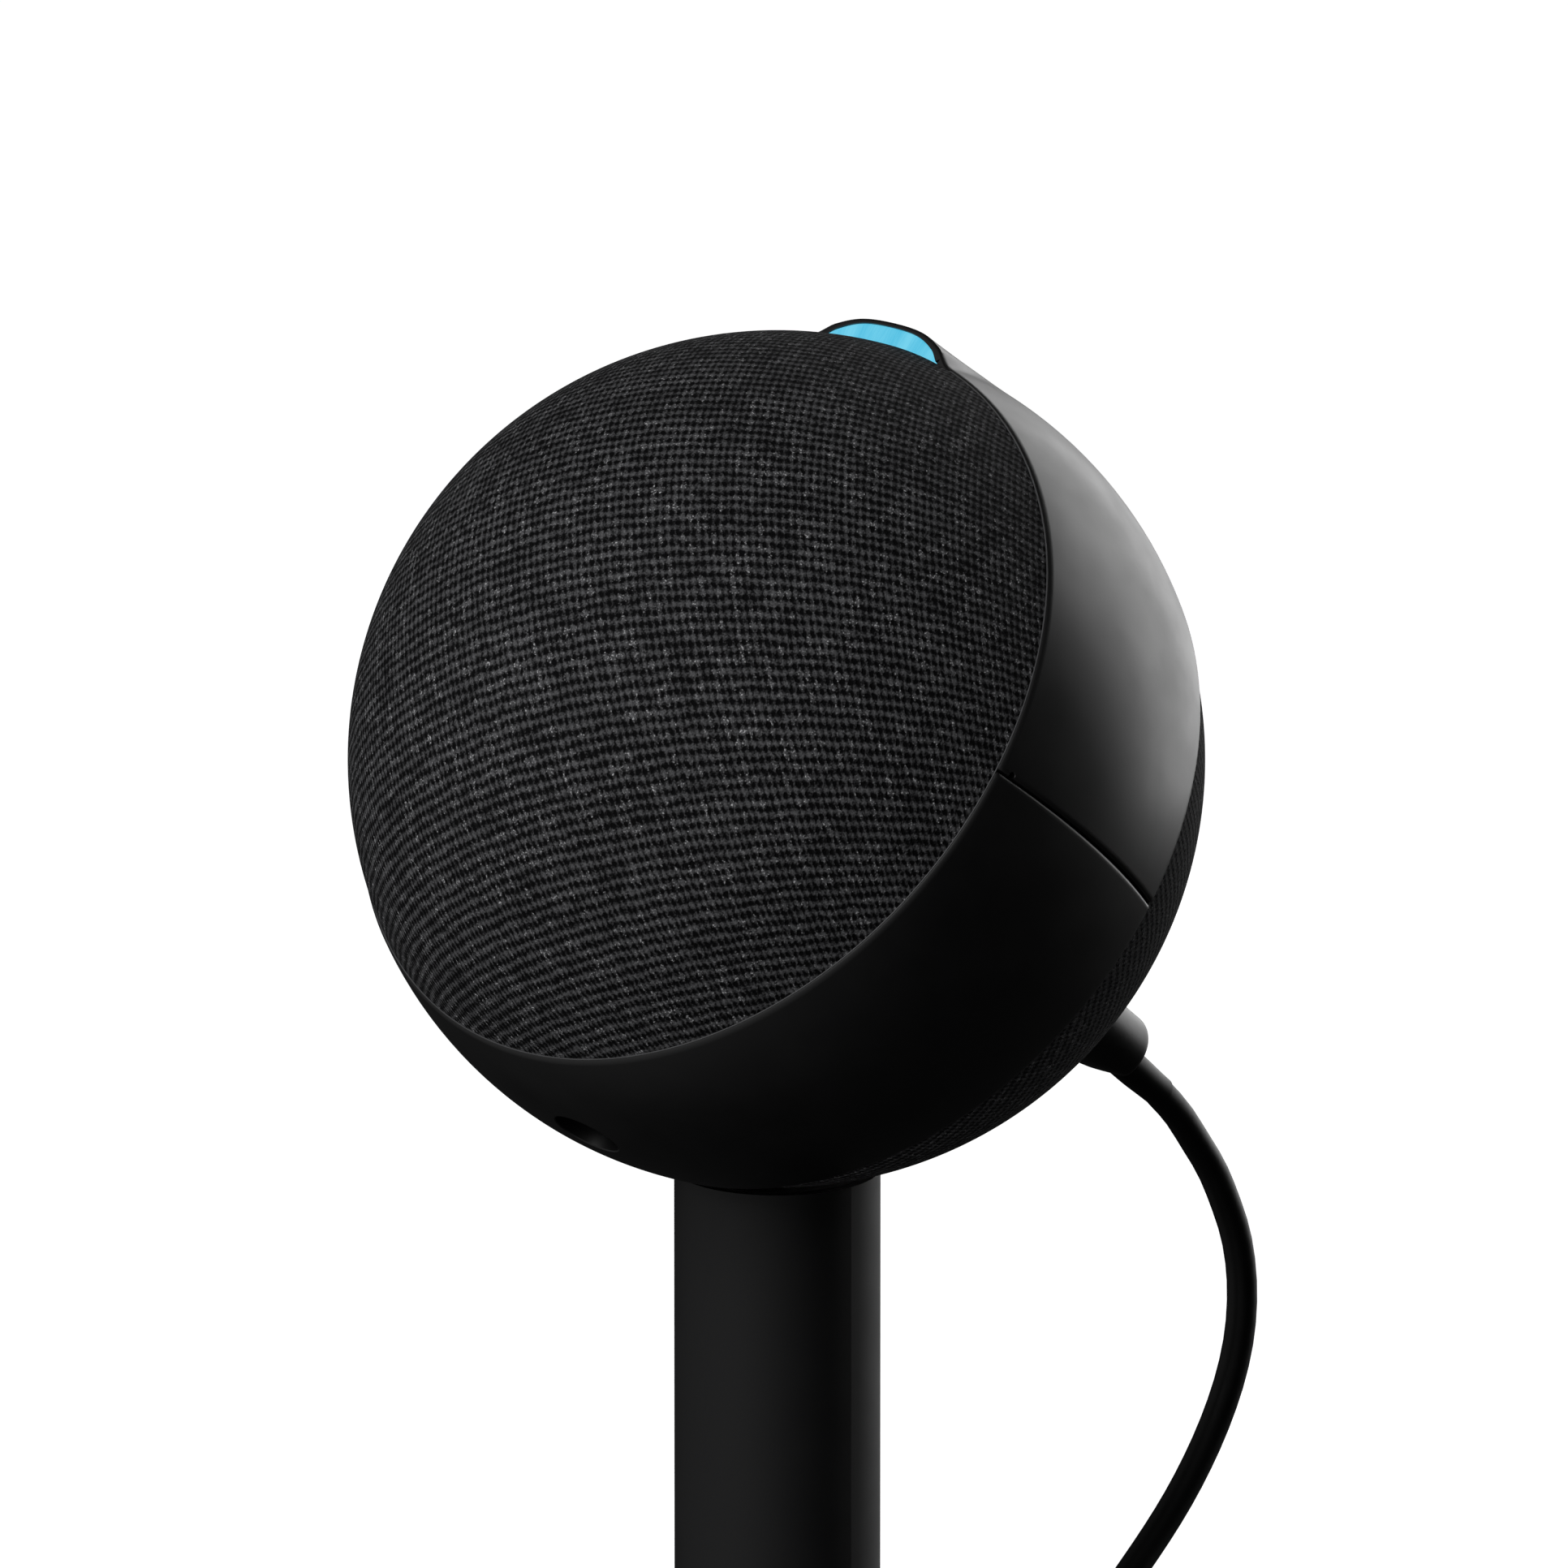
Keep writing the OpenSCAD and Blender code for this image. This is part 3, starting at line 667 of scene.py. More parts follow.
FINISHES = {
    # Satin black moulding with a very fine texture: a broad soft gloss
    "satin_black_shell": Finish(
        "satin_black_plastic", "#070708", "#0b0b0c", 0.38, 0.46, 0.35, 0.003, reflection=0.62
    ),
    # Charcoal yarn, open weave: pits darkened with painted shade, uneven threads lightened with painted light
    # where raised, a few bright fibres that are partly painted glints
    "woven_speaker_cloth": Weave("charcoal_woven_yarn", "#0c0c0d", "#161617", "#69696b", "#d8d8da"),
    # Dull black behind the cloth, so that nothing shows through
    "grille_plastic": Finish("moulded_black_abs", "#101011", "#181819", 0.5, 0.62, 0.5, 0.008),
    # Milky cyan window, evenly lit
    "cyan_light_lens": LitLens("milky_cyan_acrylic", "#4fbfe2", "#72d2ee"),
    # Clear and polished: edges bright, body nearly unseen
    "clear_light_guide": Finish("clear_acrylic", "#dbe6ea", "#eef5f8", 0.08, 0.14, 0.8, 0.002, clear=0.9),
    # Deep green with a soft sheen over darker patches
    "green_circuit_board": Finish("green_solder_mask", "#123d22", "#1c5a33", 0.3, 0.42, 0.6, 0.01, patch=4.0),
    # A shade duller than the shell, so that the buttons stand off it
    "black_button_plastic": Finish("matt_black_button_plastic", "#0b0b0c", "#121213", 0.46, 0.56, 0.3, 0.005),
    # Mid-grey metal with patchy, half-dull reflections
    "steel_sheet": Finish("cold_rolled_steel", "#7d8085", "#a1a4a9", 0.28, 0.42, 0.5, 0.004, metal=1.0),
    # Dark grey ceramic, grainy and almost without gloss
    "ferrite": Finish("sintered_ferrite", "#2b2b2e", "#3d3d41", 0.55, 0.72, 0.4, 0.02),
    # Amber varnished cloth, rough and uneven
    "spider_cloth": Finish("varnished_spider_cloth", "#8c6a35", "#b08a4c", 0.6, 0.75, 0.35, 0.03),
    # Black rubber with a faint roll of light
    "surround_rubber": Finish("butyl_rubber", "#131314", "#1c1c1d", 0.5, 0.62, 0.5, 0.006),
    # Dark fibrous paper, fully dull
    "paper_cone": Finish("pulp_cone_paper", "#26262a", "#38383d", 0.75, 0.9, 0.3, 0.03),
    # Orange metal with tight warm highlights
    "copper_coil": Finish("enamelled_copper_wire", "#9c4f22", "#c87442", 0.25, 0.36, 0.25, 0.02, metal=1.0),
    # Bright cool metal with small crisp highlights
    "screw_steel": Finish("zinc_plated_steel", "#85888d", "#aaadb2", 0.25, 0.38, 0.4, 0.004, metal=1.0),
    # Deep red with a smooth gloss
    "wire_insulation": Finish("red_wire_insulation", "#7c1512", "#a3201a", 0.35, 0.45, 0.5, 0.004),
    # Pale grey metal, softly mirrored
    "tinned_shield": Finish("tinned_steel_shield", "#a5a8ab", "#c9cccf", 0.3, 0.45, 0.6, 0.004, metal=1.0),
    # Lightest metal, white and satin
    "spreader_aluminium": Finish("plain_aluminium", "#b4b7ba", "#d3d6d9", 0.32, 0.46, 0.5, 0.004, metal=1.0),
    # Off-white and half dull
    "switch_plastic": Finish("white_switch_nylon", "#bfc0c2", "#d8d9da", 0.4, 0.55, 0.4, 0.004),
    # Plain black, duller than the plug
    "socket_plastic": Finish("black_socket_nylon", "#0c0c0d", "#141415", 0.4, 0.5, 0.4, 0.005),
    # Soft-touch black plug moulding
    "plug_plastic": Finish("black_plug_moulding", "#040404", "#080809", 0.38, 0.48, 0.4, 0.004),
    # Warm pale metal, the most polished one
    "plated_contact": Finish("nickel_plated_brass", "#a8a69f", "#cfcdc6", 0.18, 0.3, 0.5, 0.002, metal=1.0),
    # Smooth black vinyl jacket with a soft highlight along it
    "cord_jacket": Finish(
        "black_vinyl_jacket", "#050505", "#09090a", 0.4, 0.5, 0.9, 0.006, patch=5.0, reflection=0.2
    ),
    # Powder-coated black tube: deep black with a soft edge light
    "black_pole": Finish(
        "black_powder_coated_steel", "#08080a", "#0d0d0e", 0.56, 0.64, 0.3, 0.004, reflection=0.4
    ),
    # Dark metal with a dim broad reflection
    "collar_steel": Finish("blackened_collar_steel", "#1c1c1e", "#29292b", 0.35, 0.48, 0.4, 0.004, metal=0.8),
    # Black, flat and slightly pitted
    "soft_rubber": Finish("soft_black_rubber", "#111112", "#1a1a1b", 0.7, 0.85, 0.5, 0.02),
    # Thick dark paint with a slow ripple
    "weight_steel": Finish("painted_steel_weight", "#1b1b1d", "#27272a", 0.45, 0.6, 0.6, 0.01),
    # Satin black like the shell, a little broader in its gloss
    "base_cover_plastic": Finish("satin_black_base_cover", "#09090a", "#0f0f10", 0.38, 0.48, 0.35, 0.004),
    # Creamy white and waxy
    "bearing_plastic": Finish("natural_acetal", "#c9c7bf", "#dedcd4", 0.35, 0.5, 0.5, 0.004),
    # Fuzzy black loops that take all gloss away
    "tie_strap": Finish("black_hook_and_loop_strap", "#151516", "#242425", 0.85, 0.95, 0.35, 0.12),
}
# Painted highlight: a thin grey line on the black plastic's front edge, standing in for the light that its
# chamfer catches
EDGE_HIGHLIGHT_FINISH = Finish("painted_highlight_plastic_edge", "#484849", "#545456", 0.4, 0.5, 0.4, 0.002)
# Pale grey print that reads clearly on black
MARK_FINISH = Finish("pale_pad_print", "#8d8e90", "#a3a4a6", 0.5, 0.62, 0.3, 0.004)
# Even near-white without any gloss
FLOOR_FINISH = Finish("pale_studio_floor", "#f0f0f0", "#f6f6f6", 0.9, 0.95, 40.0, 0.0)


class Wardrobe:
    """Makes each finish once and hands it out by its slot."""

    def __init__(self) -> None:
        """Starts with nothing made."""
        self.made: dict[str, Material] = {}

    def get(self, slot: str) -> Material:
        """Finds or makes a slot's material.

        Args:
            slot: name of the record's material slot.

        Returns:
            The material.
        """
        if slot not in self.made:
            self.made[slot] = FINISHES[slot].make()
        return self.made[slot]


def settle(made: bpy.types.Object, body: str | None, slot: str, *nodes: str) -> bpy.types.Object:
    """Ties a new piece to the frame.

    Args:
        made: the piece.
        body: body that it rides on, or None to leave it on no body, for a piece that runs between two.
        slot: its material slot; not used.
        nodes: nodes that it stands for.

    Returns:
        The piece.
    """
    if nodes:
        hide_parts(*nodes)
    if body is not None:
        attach(made, body)
    return made


# ---------------------------------------------------------------- studio


class Aim(Enum):
    """Directions of the camera's view: right, up and towards the camera."""

    RIGHT = (0.7133, 0.7009, 0.0)
    UP = (-0.1814, 0.1846, 0.9659)
    NEAR = (0.6770, -0.6889, 0.2588)


@dataclass(frozen=True)
class SoftBox:
    """Large square lamp that points at the ball, placed by the camera's own directions."""

    name: str
    right: float
    up: float
    near: float
    width: float
    height: float
    watts: float
    mirror_only: bool = False

    def build(self, target: Vector) -> None:
        """Makes the lamp.

        Args:
            target: point that it faces.
        """
        lamp = bpy.data.lights.new(self.name, "AREA")
        lamp.shape, lamp.size, lamp.size_y, lamp.energy = "RECTANGLE", self.width, self.height, self.watts
        made = bpy.data.objects.new(self.name, lamp)
        away = sum((Vector(a.value) * k for a, k in zip(Aim, (self.right, self.up, self.near))), Vector())
        made.location = target + away
        made.rotation_euler = (-away).to_track_quat("-Z", "Y").to_euler()
        made.visible_camera = False
        made.visible_diffuse = not self.mirror_only
        bpy.context.scene.collection.objects.link(made)


@dataclass(frozen=True)
class Studio:
    """Camera, lamps, world and floor."""

    distance: float = 3.2
    lens: float = 610.5
    aim_right: float = 0.81
    aim_up: float = -2.93
    floor_half: float = 6.0
    floor_glow: float = 0.90
    room_dim: float = 0.015
    room_bright: float = 0.40
    room_side: tuple[float, float] = (-0.82, 0.57)
    boxes: tuple[SoftBox, ...] = (
        SoftBox("back_right_softbox", 0.68, 0.38, -0.68, 1.15, 1.0, 8.4, mirror_only=True),
        SoftBox("front_left_softbox", -0.75, 0.60, 1.10, 0.7, 0.7, 9.0),
    )

    def build(self) -> None:
        """Makes the studio."""
        ball = Vector((0, 0, BALL_Z * MM))
        self.camera(ball)
        for box in self.boxes:
            box.build(ball)
        self.world()
        self.floor()
        bpy.context.scene.view_settings.view_transform = "Standard"

    def camera(self, ball: Vector) -> None:
        """Makes the camera, level and turned as in the reference view.

        Args:
            ball: centre of the ball.
        """
        right, up, near = (Vector(a.value).normalized() for a in Aim)
        lens = bpy.data.cameras.new("camera")
        lens.lens, lens.sensor_width, lens.clip_end = self.lens, 36.0, 50.0
        made = bpy.data.objects.new("camera", lens)
        aim = ball + right * self.aim_right * MM + up * self.aim_up * MM
        made.location = aim + near * self.distance
        made.rotation_euler = (-near).to_track_quat("-Z", "Y").to_euler()
        bpy.context.scene.collection.objects.link(made)
        bpy.context.scene.camera = made

    def world(self) -> None:
        """Makes a dim room that is lighter towards the camera's left."""
        world = bpy.data.worlds.new("studio_room")
        world.use_nodes = True
        bpy.context.scene.world = world
        back = world.node_tree.nodes["Background"]
        place = node(world, "ShaderNodeTexCoord").outputs["Generated"]
        right, near = (Vector(aim.value) * k for aim, k in zip((Aim.RIGHT, Aim.NEAR), self.room_side))
        lighter = tuple((right + near).normalized())
        facing = node(world, "ShaderNodeVectorMath", {0: place, 1: lighter}, operation="DOT_PRODUCT")
        strength = remapped(world, facing.outputs["Value"], self.room_dim, self.room_bright, 0.0, 1.0)
        world.node_tree.links.new(strength, back.inputs["Strength"])
        back.inputs["Color"].default_value = (1, 1, 1, 1)

    def floor(self) -> None:
        """Makes the pale floor, which glows so that it stays even and isn't mirrored in the object."""
        half = self.floor_half / MM
        box = rounded_box((2 * half, 2 * half, 20.0), 5.0, 2)
        made = piece("studio_floor", (box[0] - [0, 0, 10.0], box[1]), FLOOR_FINISH.make())
        shader = made.data.materials[0].node_tree.nodes["Principled BSDF"]
        shader.inputs["Emission Color"].default_value = (1, 1, 1, 1)
        shader.inputs["Emission Strength"].default_value = self.floor_glow
        made.visible_glossy = made.visible_diffuse = False


# ---------------------------------------------------------------- cord


LOOP_ROUTE = [
    [0, 66.8, 235], [0, 70, 231.8], [0, 73.2, 227.6], [0, 76.2, 223.4], [0, 78.6, 218.8], [0, 80.5, 214.2],
    [0, 81.5, 209.6], [0, 81.7, 205], [0, 81.1, 200.4], [0, 79.6, 195.8], [0, 77.3, 191.3], [0, 74.4, 187],
    [0, 70.8, 182.7], [0, 66.6, 178.6], [0, 61.2, 174], [0, 55, 168.9], [0, 48.5, 163.8], [0, 42, 158.8],
    [0, 36, 154.2], [0, 30, 149.3], [0, 24, 144],
]
TAIL_ROUTE = [
    [0, 76, 5.5], [0, 82, 5.3], [-0.5, 88, 4], [-2, 94, 2.6], [-4, 100, 2.1], [-5.8, 106, 2.2], [-6.5, 114, 2.5],
]
LEAD_ROUTE = [
    [22, 140.6, 5.8], [28, 140.6, 6.1], [34, 140.5, 6.2], [40, 140.2, 4.9], [46, 139.6, 3.1], [53, 138.2, 1.9],
    [60, 135.6, 1.9], [66, 132, 2], [71, 128, 2.6], [75, 123.6, 3.8], [77.6, 120, 5], [78, 118, 5.8],
    [78, 116.1, 6],
]


@dataclass(frozen=True)
class Coil:
    """Flat coil of cord in two layers: inwards below, a climb at the eye, then outwards on top."""

    centre: tuple[float, float] = (22.0, 114.0)
    low_radii: tuple[float, ...] = (28.5, 24.7, 20.9, 17.1)
    high_radii: tuple[float, ...] = (19.0, 22.8, 26.6)
    low_z: float = 2.5
    high_z: float = 5.79
    pitch: float = 3.8
    turns: float = 6.25
    shift_start: float = 0.84
    shift_end: float = 0.96
    climb_start: float = 3.45
    climb_end: float = 3.75

    def line(self) -> np.ndarray:
        """Draws the coil clockwise from its left side.

        Each turn keeps its radius and steps to the next one over a short arc, where the top layer rides
        over the step below. The climb rolls round the neighbouring turn at one cord's width.

        Returns:
            Points of the centreline.
        """
        t = np.linspace(0, self.turns, round(self.turns * 48) + 1)
        radii = np.array(self.low_radii + self.high_radii)
        turn = np.minimum(t.astype(int), len(radii) - 1)
        after = np.minimum(turn + 1, len(radii) - 1)
        step = smooth_step(t - turn, self.shift_start, self.shift_end)
        last_low = len(self.low_radii) - 1
        step = np.where(turn == last_low, 0, step)
        radius = radii[turn] + (radii[after] - radii[turn]) * step
        roll = smooth_step(t, self.climb_start, self.climb_end) * math.radians(60)
        climbing = turn == last_low
        radius = np.where(climbing, self.low_radii[-2] - self.pitch * np.cos(roll), radius)
        z = np.where(t < last_low + 1, self.low_z + self.pitch * np.sin(roll), self.high_z)
        near_step = smooth_step(t - turn, self.shift_start - 0.06, self.shift_start) * (
            1 - smooth_step(t - turn, self.shift_end, 1.0)
        )
        z = z + np.where(z > self.high_z - 0.01, 0.5 * near_step, 0)
        angle = np.pi - 2 * np.pi * t
        return np.stack(
            [self.centre[0] + radius * np.cos(angle), self.centre[1] + radius * np.sin(angle), z], axis=-1
        )


@dataclass(frozen=True)
class PowerLead:
    """Two lengths of the power cord that show: the loop under the ball, and the coil behind the base."""

    wardrobe: Wardrobe
    diameter: float = 3.8
    sides: int = 20
    step: float = 2.6

    def build(self) -> None:
        """Makes both lengths and what hangs on the second."""
        self.loop()
        self.coil()

    def loop(self) -> None:
        """Makes the loop from the plug's strain relief down to the gland in the pole."""
        path = eased(LOOP_ROUTE, self.step)
        surface = tube(path, self.diameter / 2, (1, 0, 0), self.sides)
        made = piece("loop_cord", surface, self.wardrobe.get("cord_jacket"), sharp=60)
        settle(made, None, "cord_jacket", "cord_loop")
        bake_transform(made)

    def coil(self) -> None:
        """Makes the length from the base to the adapter, with the coil and the adapter."""
        tail, lead = eased(TAIL_ROUTE, self.step), eased(LEAD_ROUTE, self.step)
        path = np.concatenate([tail[:-1], Coil().line()[1:-1], lead])
        surface = tube(path, self.diameter / 2, (0, 0, 1), self.sides)
        made = piece("coiled_cord", surface, self.wardrobe.get("cord_jacket"), sharp=60)
        settle(made, "base", "cord_jacket", "cord_tail", "cord_coil", "cord_lead")
        adapter = self.adapter()

    def adapter(self) -> bpy.types.Object:
        """Makes the mains adapter's case with rounded edges.

        Returns:
            The case.
        """
        low, high = (np.array(corner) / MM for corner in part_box("adapter_body"))
        points, faces = rounded_box(high - low, 3.5, 8)
        made = piece("adapter_case", (points + (low + high) / 2, faces), self.wardrobe.get("plug_plastic"))
        return settle(made, "base", "plug_plastic", "adapter_body")


# ---------------------------------------------------------------- ball


@dataclass(frozen=True)
class Ball:
    """The ball: plastic band in two half shells with a crest, a light bar, and cloth at front and back."""

    wardrobe: Wardrobe
    radius: float = 52.0
    rim_z: float = 16.5
    rim_rho: float = 49.31
    rear_z: float = -18.47
    inner_radius: float = 49.8
    chamfer: float = 0.24
    bead: float = 0.1
    crest_half: float = 10.8
    crest_height: float = 2.6
    lens_half: float = 11.0
    lens_narrowing: float = 1.10
    bezel: float = 0.62
    lens_recess: float = 0.5
    lip_rho: float = 48.93
    seam_radius: float = 0.45
    front_cloth: float = 51.7
    rear_cloth: float = 51.5
    cloth_wall: float = 0.8
    socket: float = 5.0
    row_rate: tuple[float, float] = (14.92, -31.34)
    column_rate: tuple[float, float] = (46.95, 30.28)

    def build(self) -> None:
        """Makes every piece of the ball."""
        self.shells()
        self.lens()
        self.front()
        self.rear()

    def crest(self, around: np.ndarray) -> np.ndarray:
        """Share of the crest's height at an angle: a flat top whose shoulders run out smoothly.

        Args:
            around: degrees from the crest's middle.

        Returns:
            From 0 to 1.
        """
        a = np.abs(around)
        return 1 / (1 + (a / self.crest_half) ** 4.5) * (1 - smooth_step(a, 10.0, 14.2))

    def outside(self, z: np.ndarray, crest: np.ndarray) -> np.ndarray:
        """Distance of the band's surface from the front axis: a sphere, raised under the crest.

        Args:
            z: height along the front axis.
            crest: share of the crest's height.

        Returns:
            The distance.
        """
        round_part = np.sqrt(self.radius**2 - z**2)
        share = self.crest_height / (self.radius - self.rim_rho)
        return round_part + (self.radius - round_part) * crest * share * (z > 0)

    def half_shell(self, name: str, centre: float, node_name: str) -> bpy.types.Object:
        """Makes one half of the band as a closed ring of profiles, rounded off along the seam.

        Args:
            name: the piece's name.
            centre: degrees round the front axis of the half's middle.
            node_name: node that it stands for.

        Returns:
            The piece.
        """
        from_seam = np.array([0.0, 0.05, 0.13, 0.26, 0.45, 0.8])
        side = np.concatenate(
            [np.arange(0, 17, 0.5), np.arange(17, 89, 1.5), (90 - np.degrees(from_seam / self.radius))[::-1]]
        )
        psi = np.concatenate([-side[:0:-1], side])
        gap = np.radians(90 - np.abs(psi)) * self.radius
        fall = self.seam_radius - np.sqrt(
            np.maximum(0, self.seam_radius**2 - np.maximum(0, self.seam_radius - gap) ** 2)
        )
        crest = self.crest(psi) if centre == 0 else 0 * psi
        top = self.rim_rho + self.crest_height * crest
        rows = []
        for z in np.linspace(self.rear_z + 0.3, self.rim_z - self.chamfer, 64):
            rows.append((z + 0 * psi, self.outside(z, crest) - fall))
        in_lens = (1 - smooth_step(np.abs(psi), self.lens_half, self.lens_half + 0.35)) * (centre == 0)
        floor_z = self.rim_z - self.lens_recess * in_lens
        lip = self.lip_rho + 0 * psi
        window = self.rim_rho + self.crest_height * self.crest(self.lens_narrowing * psi) - self.bezel
        edge = np.where(in_lens > 0, np.minimum(window, top - 0.5), top - self.chamfer - 0.1)
        edge = np.maximum(edge, lip + 0.02)
        rows += [
            (self.rim_z - 0.04 + 0 * psi, np.maximum(top - self.chamfer + 0.02, lip + 0.04) - 0.4 * fall),
            (self.rim_z + 0 * psi, np.maximum(top - self.chamfer - 0.05, lip + 0.03) - 0.4 * fall),
            (self.rim_z + 0 * psi, edge),
            (floor_z, np.maximum(edge - 0.04, lip + 0.01)),
            (floor_z, lip),
            (self.rim_z - 0.8 + 0 * psi, lip - 0.15),
        ]
        for z in np.linspace(15.0, self.rear_z + 0.5, 16):
            rows.append((z + 0 * psi, np.sqrt(self.inner_radius**2 - z**2) + 0 * psi))
        rows += [
            (self.rear_z + 0 * psi, 47.2 + 0 * psi),
            (self.rear_z + 0 * psi, 48.3 - 0.5 * fall),
            (self.rear_z + 0.12 + 0 * psi, 48.56 - fall),
        ]
        z = np.stack([r[0] for r in rows])
        rho = np.stack([r[1] for r in rows])
        half_gap = 0.10 + 0.12 * (self.rim_z - z) / 35
        turn = np.radians(psi)[None] * (1 - half_gap / (rho * np.pi / 2)) + math.radians(centre)
        points = np.stack([rho * np.sin(turn), rho * np.cos(turn), z], axis=-1)
        count, across = z.shape
        faces = quads(count, across, wrap_rows=True)
        faces += [[i * across + k for i in range(count)] for k in (0, across - 1)]
        surface = (in_row(points).reshape(-1, 3), faces)
        made = piece(name, surface, self.wardrobe.get("satin_black_shell"), sharp=40)
        return settle(made, "head", "satin_black_shell", node_name)

    def hole(self, latitude: float, around: float, radius: float, slope: float) -> tuple:
        """Makes a tool for a round hole with a small sloped edge.

        Args:
            latitude: degrees towards the front.
            around: degrees round the front axis.
            radius: the hole's radius.
            slope: width of the edge's slope.

        Returns:
            Points and faces in the row frame.
        """
        surface = self.radius - radius**2 / (2 * self.radius)
        wide = radius + 2 * slope
        profile = np.array([[radius, 44.0], [radius, surface - slope], [wide, surface + slope], [wide, 56]])
        points, faces = lathe(profile, 64)
        return in_row(radial(points, latitude, around)), faces

    def shells(self) -> None:
        """Makes both half shells and cuts their holes."""
        upper = self.half_shell("crest_shell", 0, "upper_shell")
        lower = self.half_shell("chin_shell", 180, "lower_shell")
        dots = [self.hole(16.2, side, 0.4, 0.05) for side in (-89.5, 89.5)]
        caps = [self.hole(-8.0, (i - 1.5) * 10.0, 3.55, 0.16) for i in range(4)]
        carved(upper, joined([*caps, *dots]), 40)
        carved(lower, self.hole(0, 180, 4.25, 0.14), 40)
        self.rim_highlight_line()
        self.marks()

    def rim_highlight_line(self) -> None:
        """Makes the thin grey line that runs round the cloth along the band's edge, from one side of the crest
        to the other: a painted highlight where the edge catches the light.
        """
        around = np.radians(np.linspace(14.5, 345.5, 361))
        rho = self.lip_rho + 0.11
        path = np.stack([rho * np.sin(around), rho * np.cos(around), self.rim_z - 0.02 + 0 * around], axis=-1)
        points, faces = tube(path, self.bead, (0, 0, 1), 12)
        # The line's grey is painted highlight, not the plastic's own colour
        made = piece("rim_highlight_line", (in_row(points), faces), EDGE_HIGHLIGHT_FINISH.make())
        settle(made, "head", "satin_black_shell")

    def marks(self) -> None:
        """Makes the printed marks on the four buttons: a slanted bar, a minus, a plus and a dot."""
        bar = rounded_box((2.6, 0.42, 0.2), 0.08, 2)
        tall = (bar[0][:, [1, 0, 2]], bar[1])
        dot = lathe(np.array([[0.75, -0.1], [0.75, 0.06], [0.7, 0.1]]), 32)
        slant = math.radians(45)
        turned = bar[0] @ np.array(
            [[math.cos(slant), math.sin(slant), 0], [-math.sin(slant), math.cos(slant), 0], [0, 0, 1]]
        )
        shapes = {
            "mic_off_button": [(turned, bar[1])],
            "volume_down_button": [bar],
            "volume_up_button": [bar, tall],
            "action_button": [dot],
        }
        material = MARK_FINISH.make()
        for i, (name, parts) in enumerate(shapes.items()):
            points, faces = joined(parts)
            points = points + [0, 0, self.radius + 0.12]
            surface = (in_row(radial(points, -8.0, (i - 1.5) * 10.0)), faces)
            made = piece(name.replace("button", "mark"), surface, material)
            settle(made, name, "black_button_plastic")

    def lens(self) -> None:
        """Makes the light bar's window, a slab that follows the crest's outline inside the bezel."""
        around = np.linspace(-self.lens_half, self.lens_half, 121)
        top = self.rim_rho + self.crest_height * self.crest(self.lens_narrowing * around) - self.bezel - 0.04
        foot = self.lip_rho - 0.25
        level = np.linspace(0, 1, 13)[:, None]
        rho = foot + (top - foot) * level
        ends = smooth_step(np.abs(around), self.lens_half, self.lens_half - 0.25)
        brow = 0.16 * (1 - np.sqrt(np.clip(1 - ((level - 0.86) / 0.14).clip(0, 1) ** 2, 0, 1)))
        z_front = self.rim_z - 0.06 - brow + 0 * rho - 0.12 * (1 - ends)
        z = np.concatenate([z_front, (self.rim_z - 2.2 + 0 * rho)[::-1]])
        rho = np.concatenate([rho, rho[::-1]])
        turn = np.radians(around)[None] + 0 * rho
        points = np.stack([rho * np.sin(turn), rho * np.cos(turn), z], axis=-1)
        count, across = z.shape
        faces = quads(count, across, wrap_rows=True)
        faces += [[i * across + k for i in range(count)] for k in (0, across - 1)]
        pattern = np.stack([turn * self.radius, rho - foot], axis=-1).reshape(-1, 2)
        surface = (in_row(points).reshape(-1, 3), faces)
        made = piece("light_window", surface, self.wardrobe.get("cyan_light_lens"), pattern, sharp=50)
        settle(made, "head", "cyan_light_lens", "light_lens")

    def cloth(self, name: str, profile: np.ndarray, towards: float, node_name: str) -> None:
        """Makes a cap of cloth, or a ring of it where the profile stays off the axis.

        The pattern counts the weave's rows and columns on the cap laid flat, at its true distance from the
        middle of the cap in every direction.

        Args:
            name: the piece's name.
            profile: distance from the axis and height, from the middle out and back.
            towards: 1 for the front and -1 for the back.
            node_name: node that it stands for.
        """
        sides = 240
        points, faces = lathe(profile, sides)
        if profile[-1, 0] > 1.0:
            faces = quads(len(profile), sides, wrap_rows=True, wrap_cols=True)
        rho = np.hypot(points[:, 0], points[:, 1])
        off_axis = np.arctan2(rho, towards * points[:, 2])
        flat = off_axis[:, None] * points[:, :2] / np.maximum(rho, 1e-9)[:, None]
        pattern = np.stack([flat @ np.array(self.row_rate), flat @ np.array(self.column_rate)], axis=-1)
        yarn = self.wardrobe.get("woven_speaker_cloth")
        made = piece(name, (in_row(points), faces), yarn, pattern, sharp=60)
        settle(made, "head", "woven_speaker_cloth", node_name)

    def front(self) -> None:
        """Makes the domed front cloth, tucked in behind the band's edge."""
        edge = math.acos((self.rim_z + 0.02) / self.front_cloth)
        out = np.linspace(0.004, edge, 72)
        inner = self.front_cloth - self.cloth_wall
        back = np.linspace(edge - 0.012, 0.004, 24)
        profile = np.concatenate(
            [
                np.stack([self.front_cloth * np.sin(out), self.front_cloth * np.cos(out)], axis=-1),
                [[48.75, self.rim_z - 0.2], [48.5, self.rim_z - 0.3]],
                np.stack([inner * np.sin(back), inner * np.cos(back)], axis=-1),
            ]
        )
        self.cloth("front_cloth", profile, 1.0, "front_fabric")

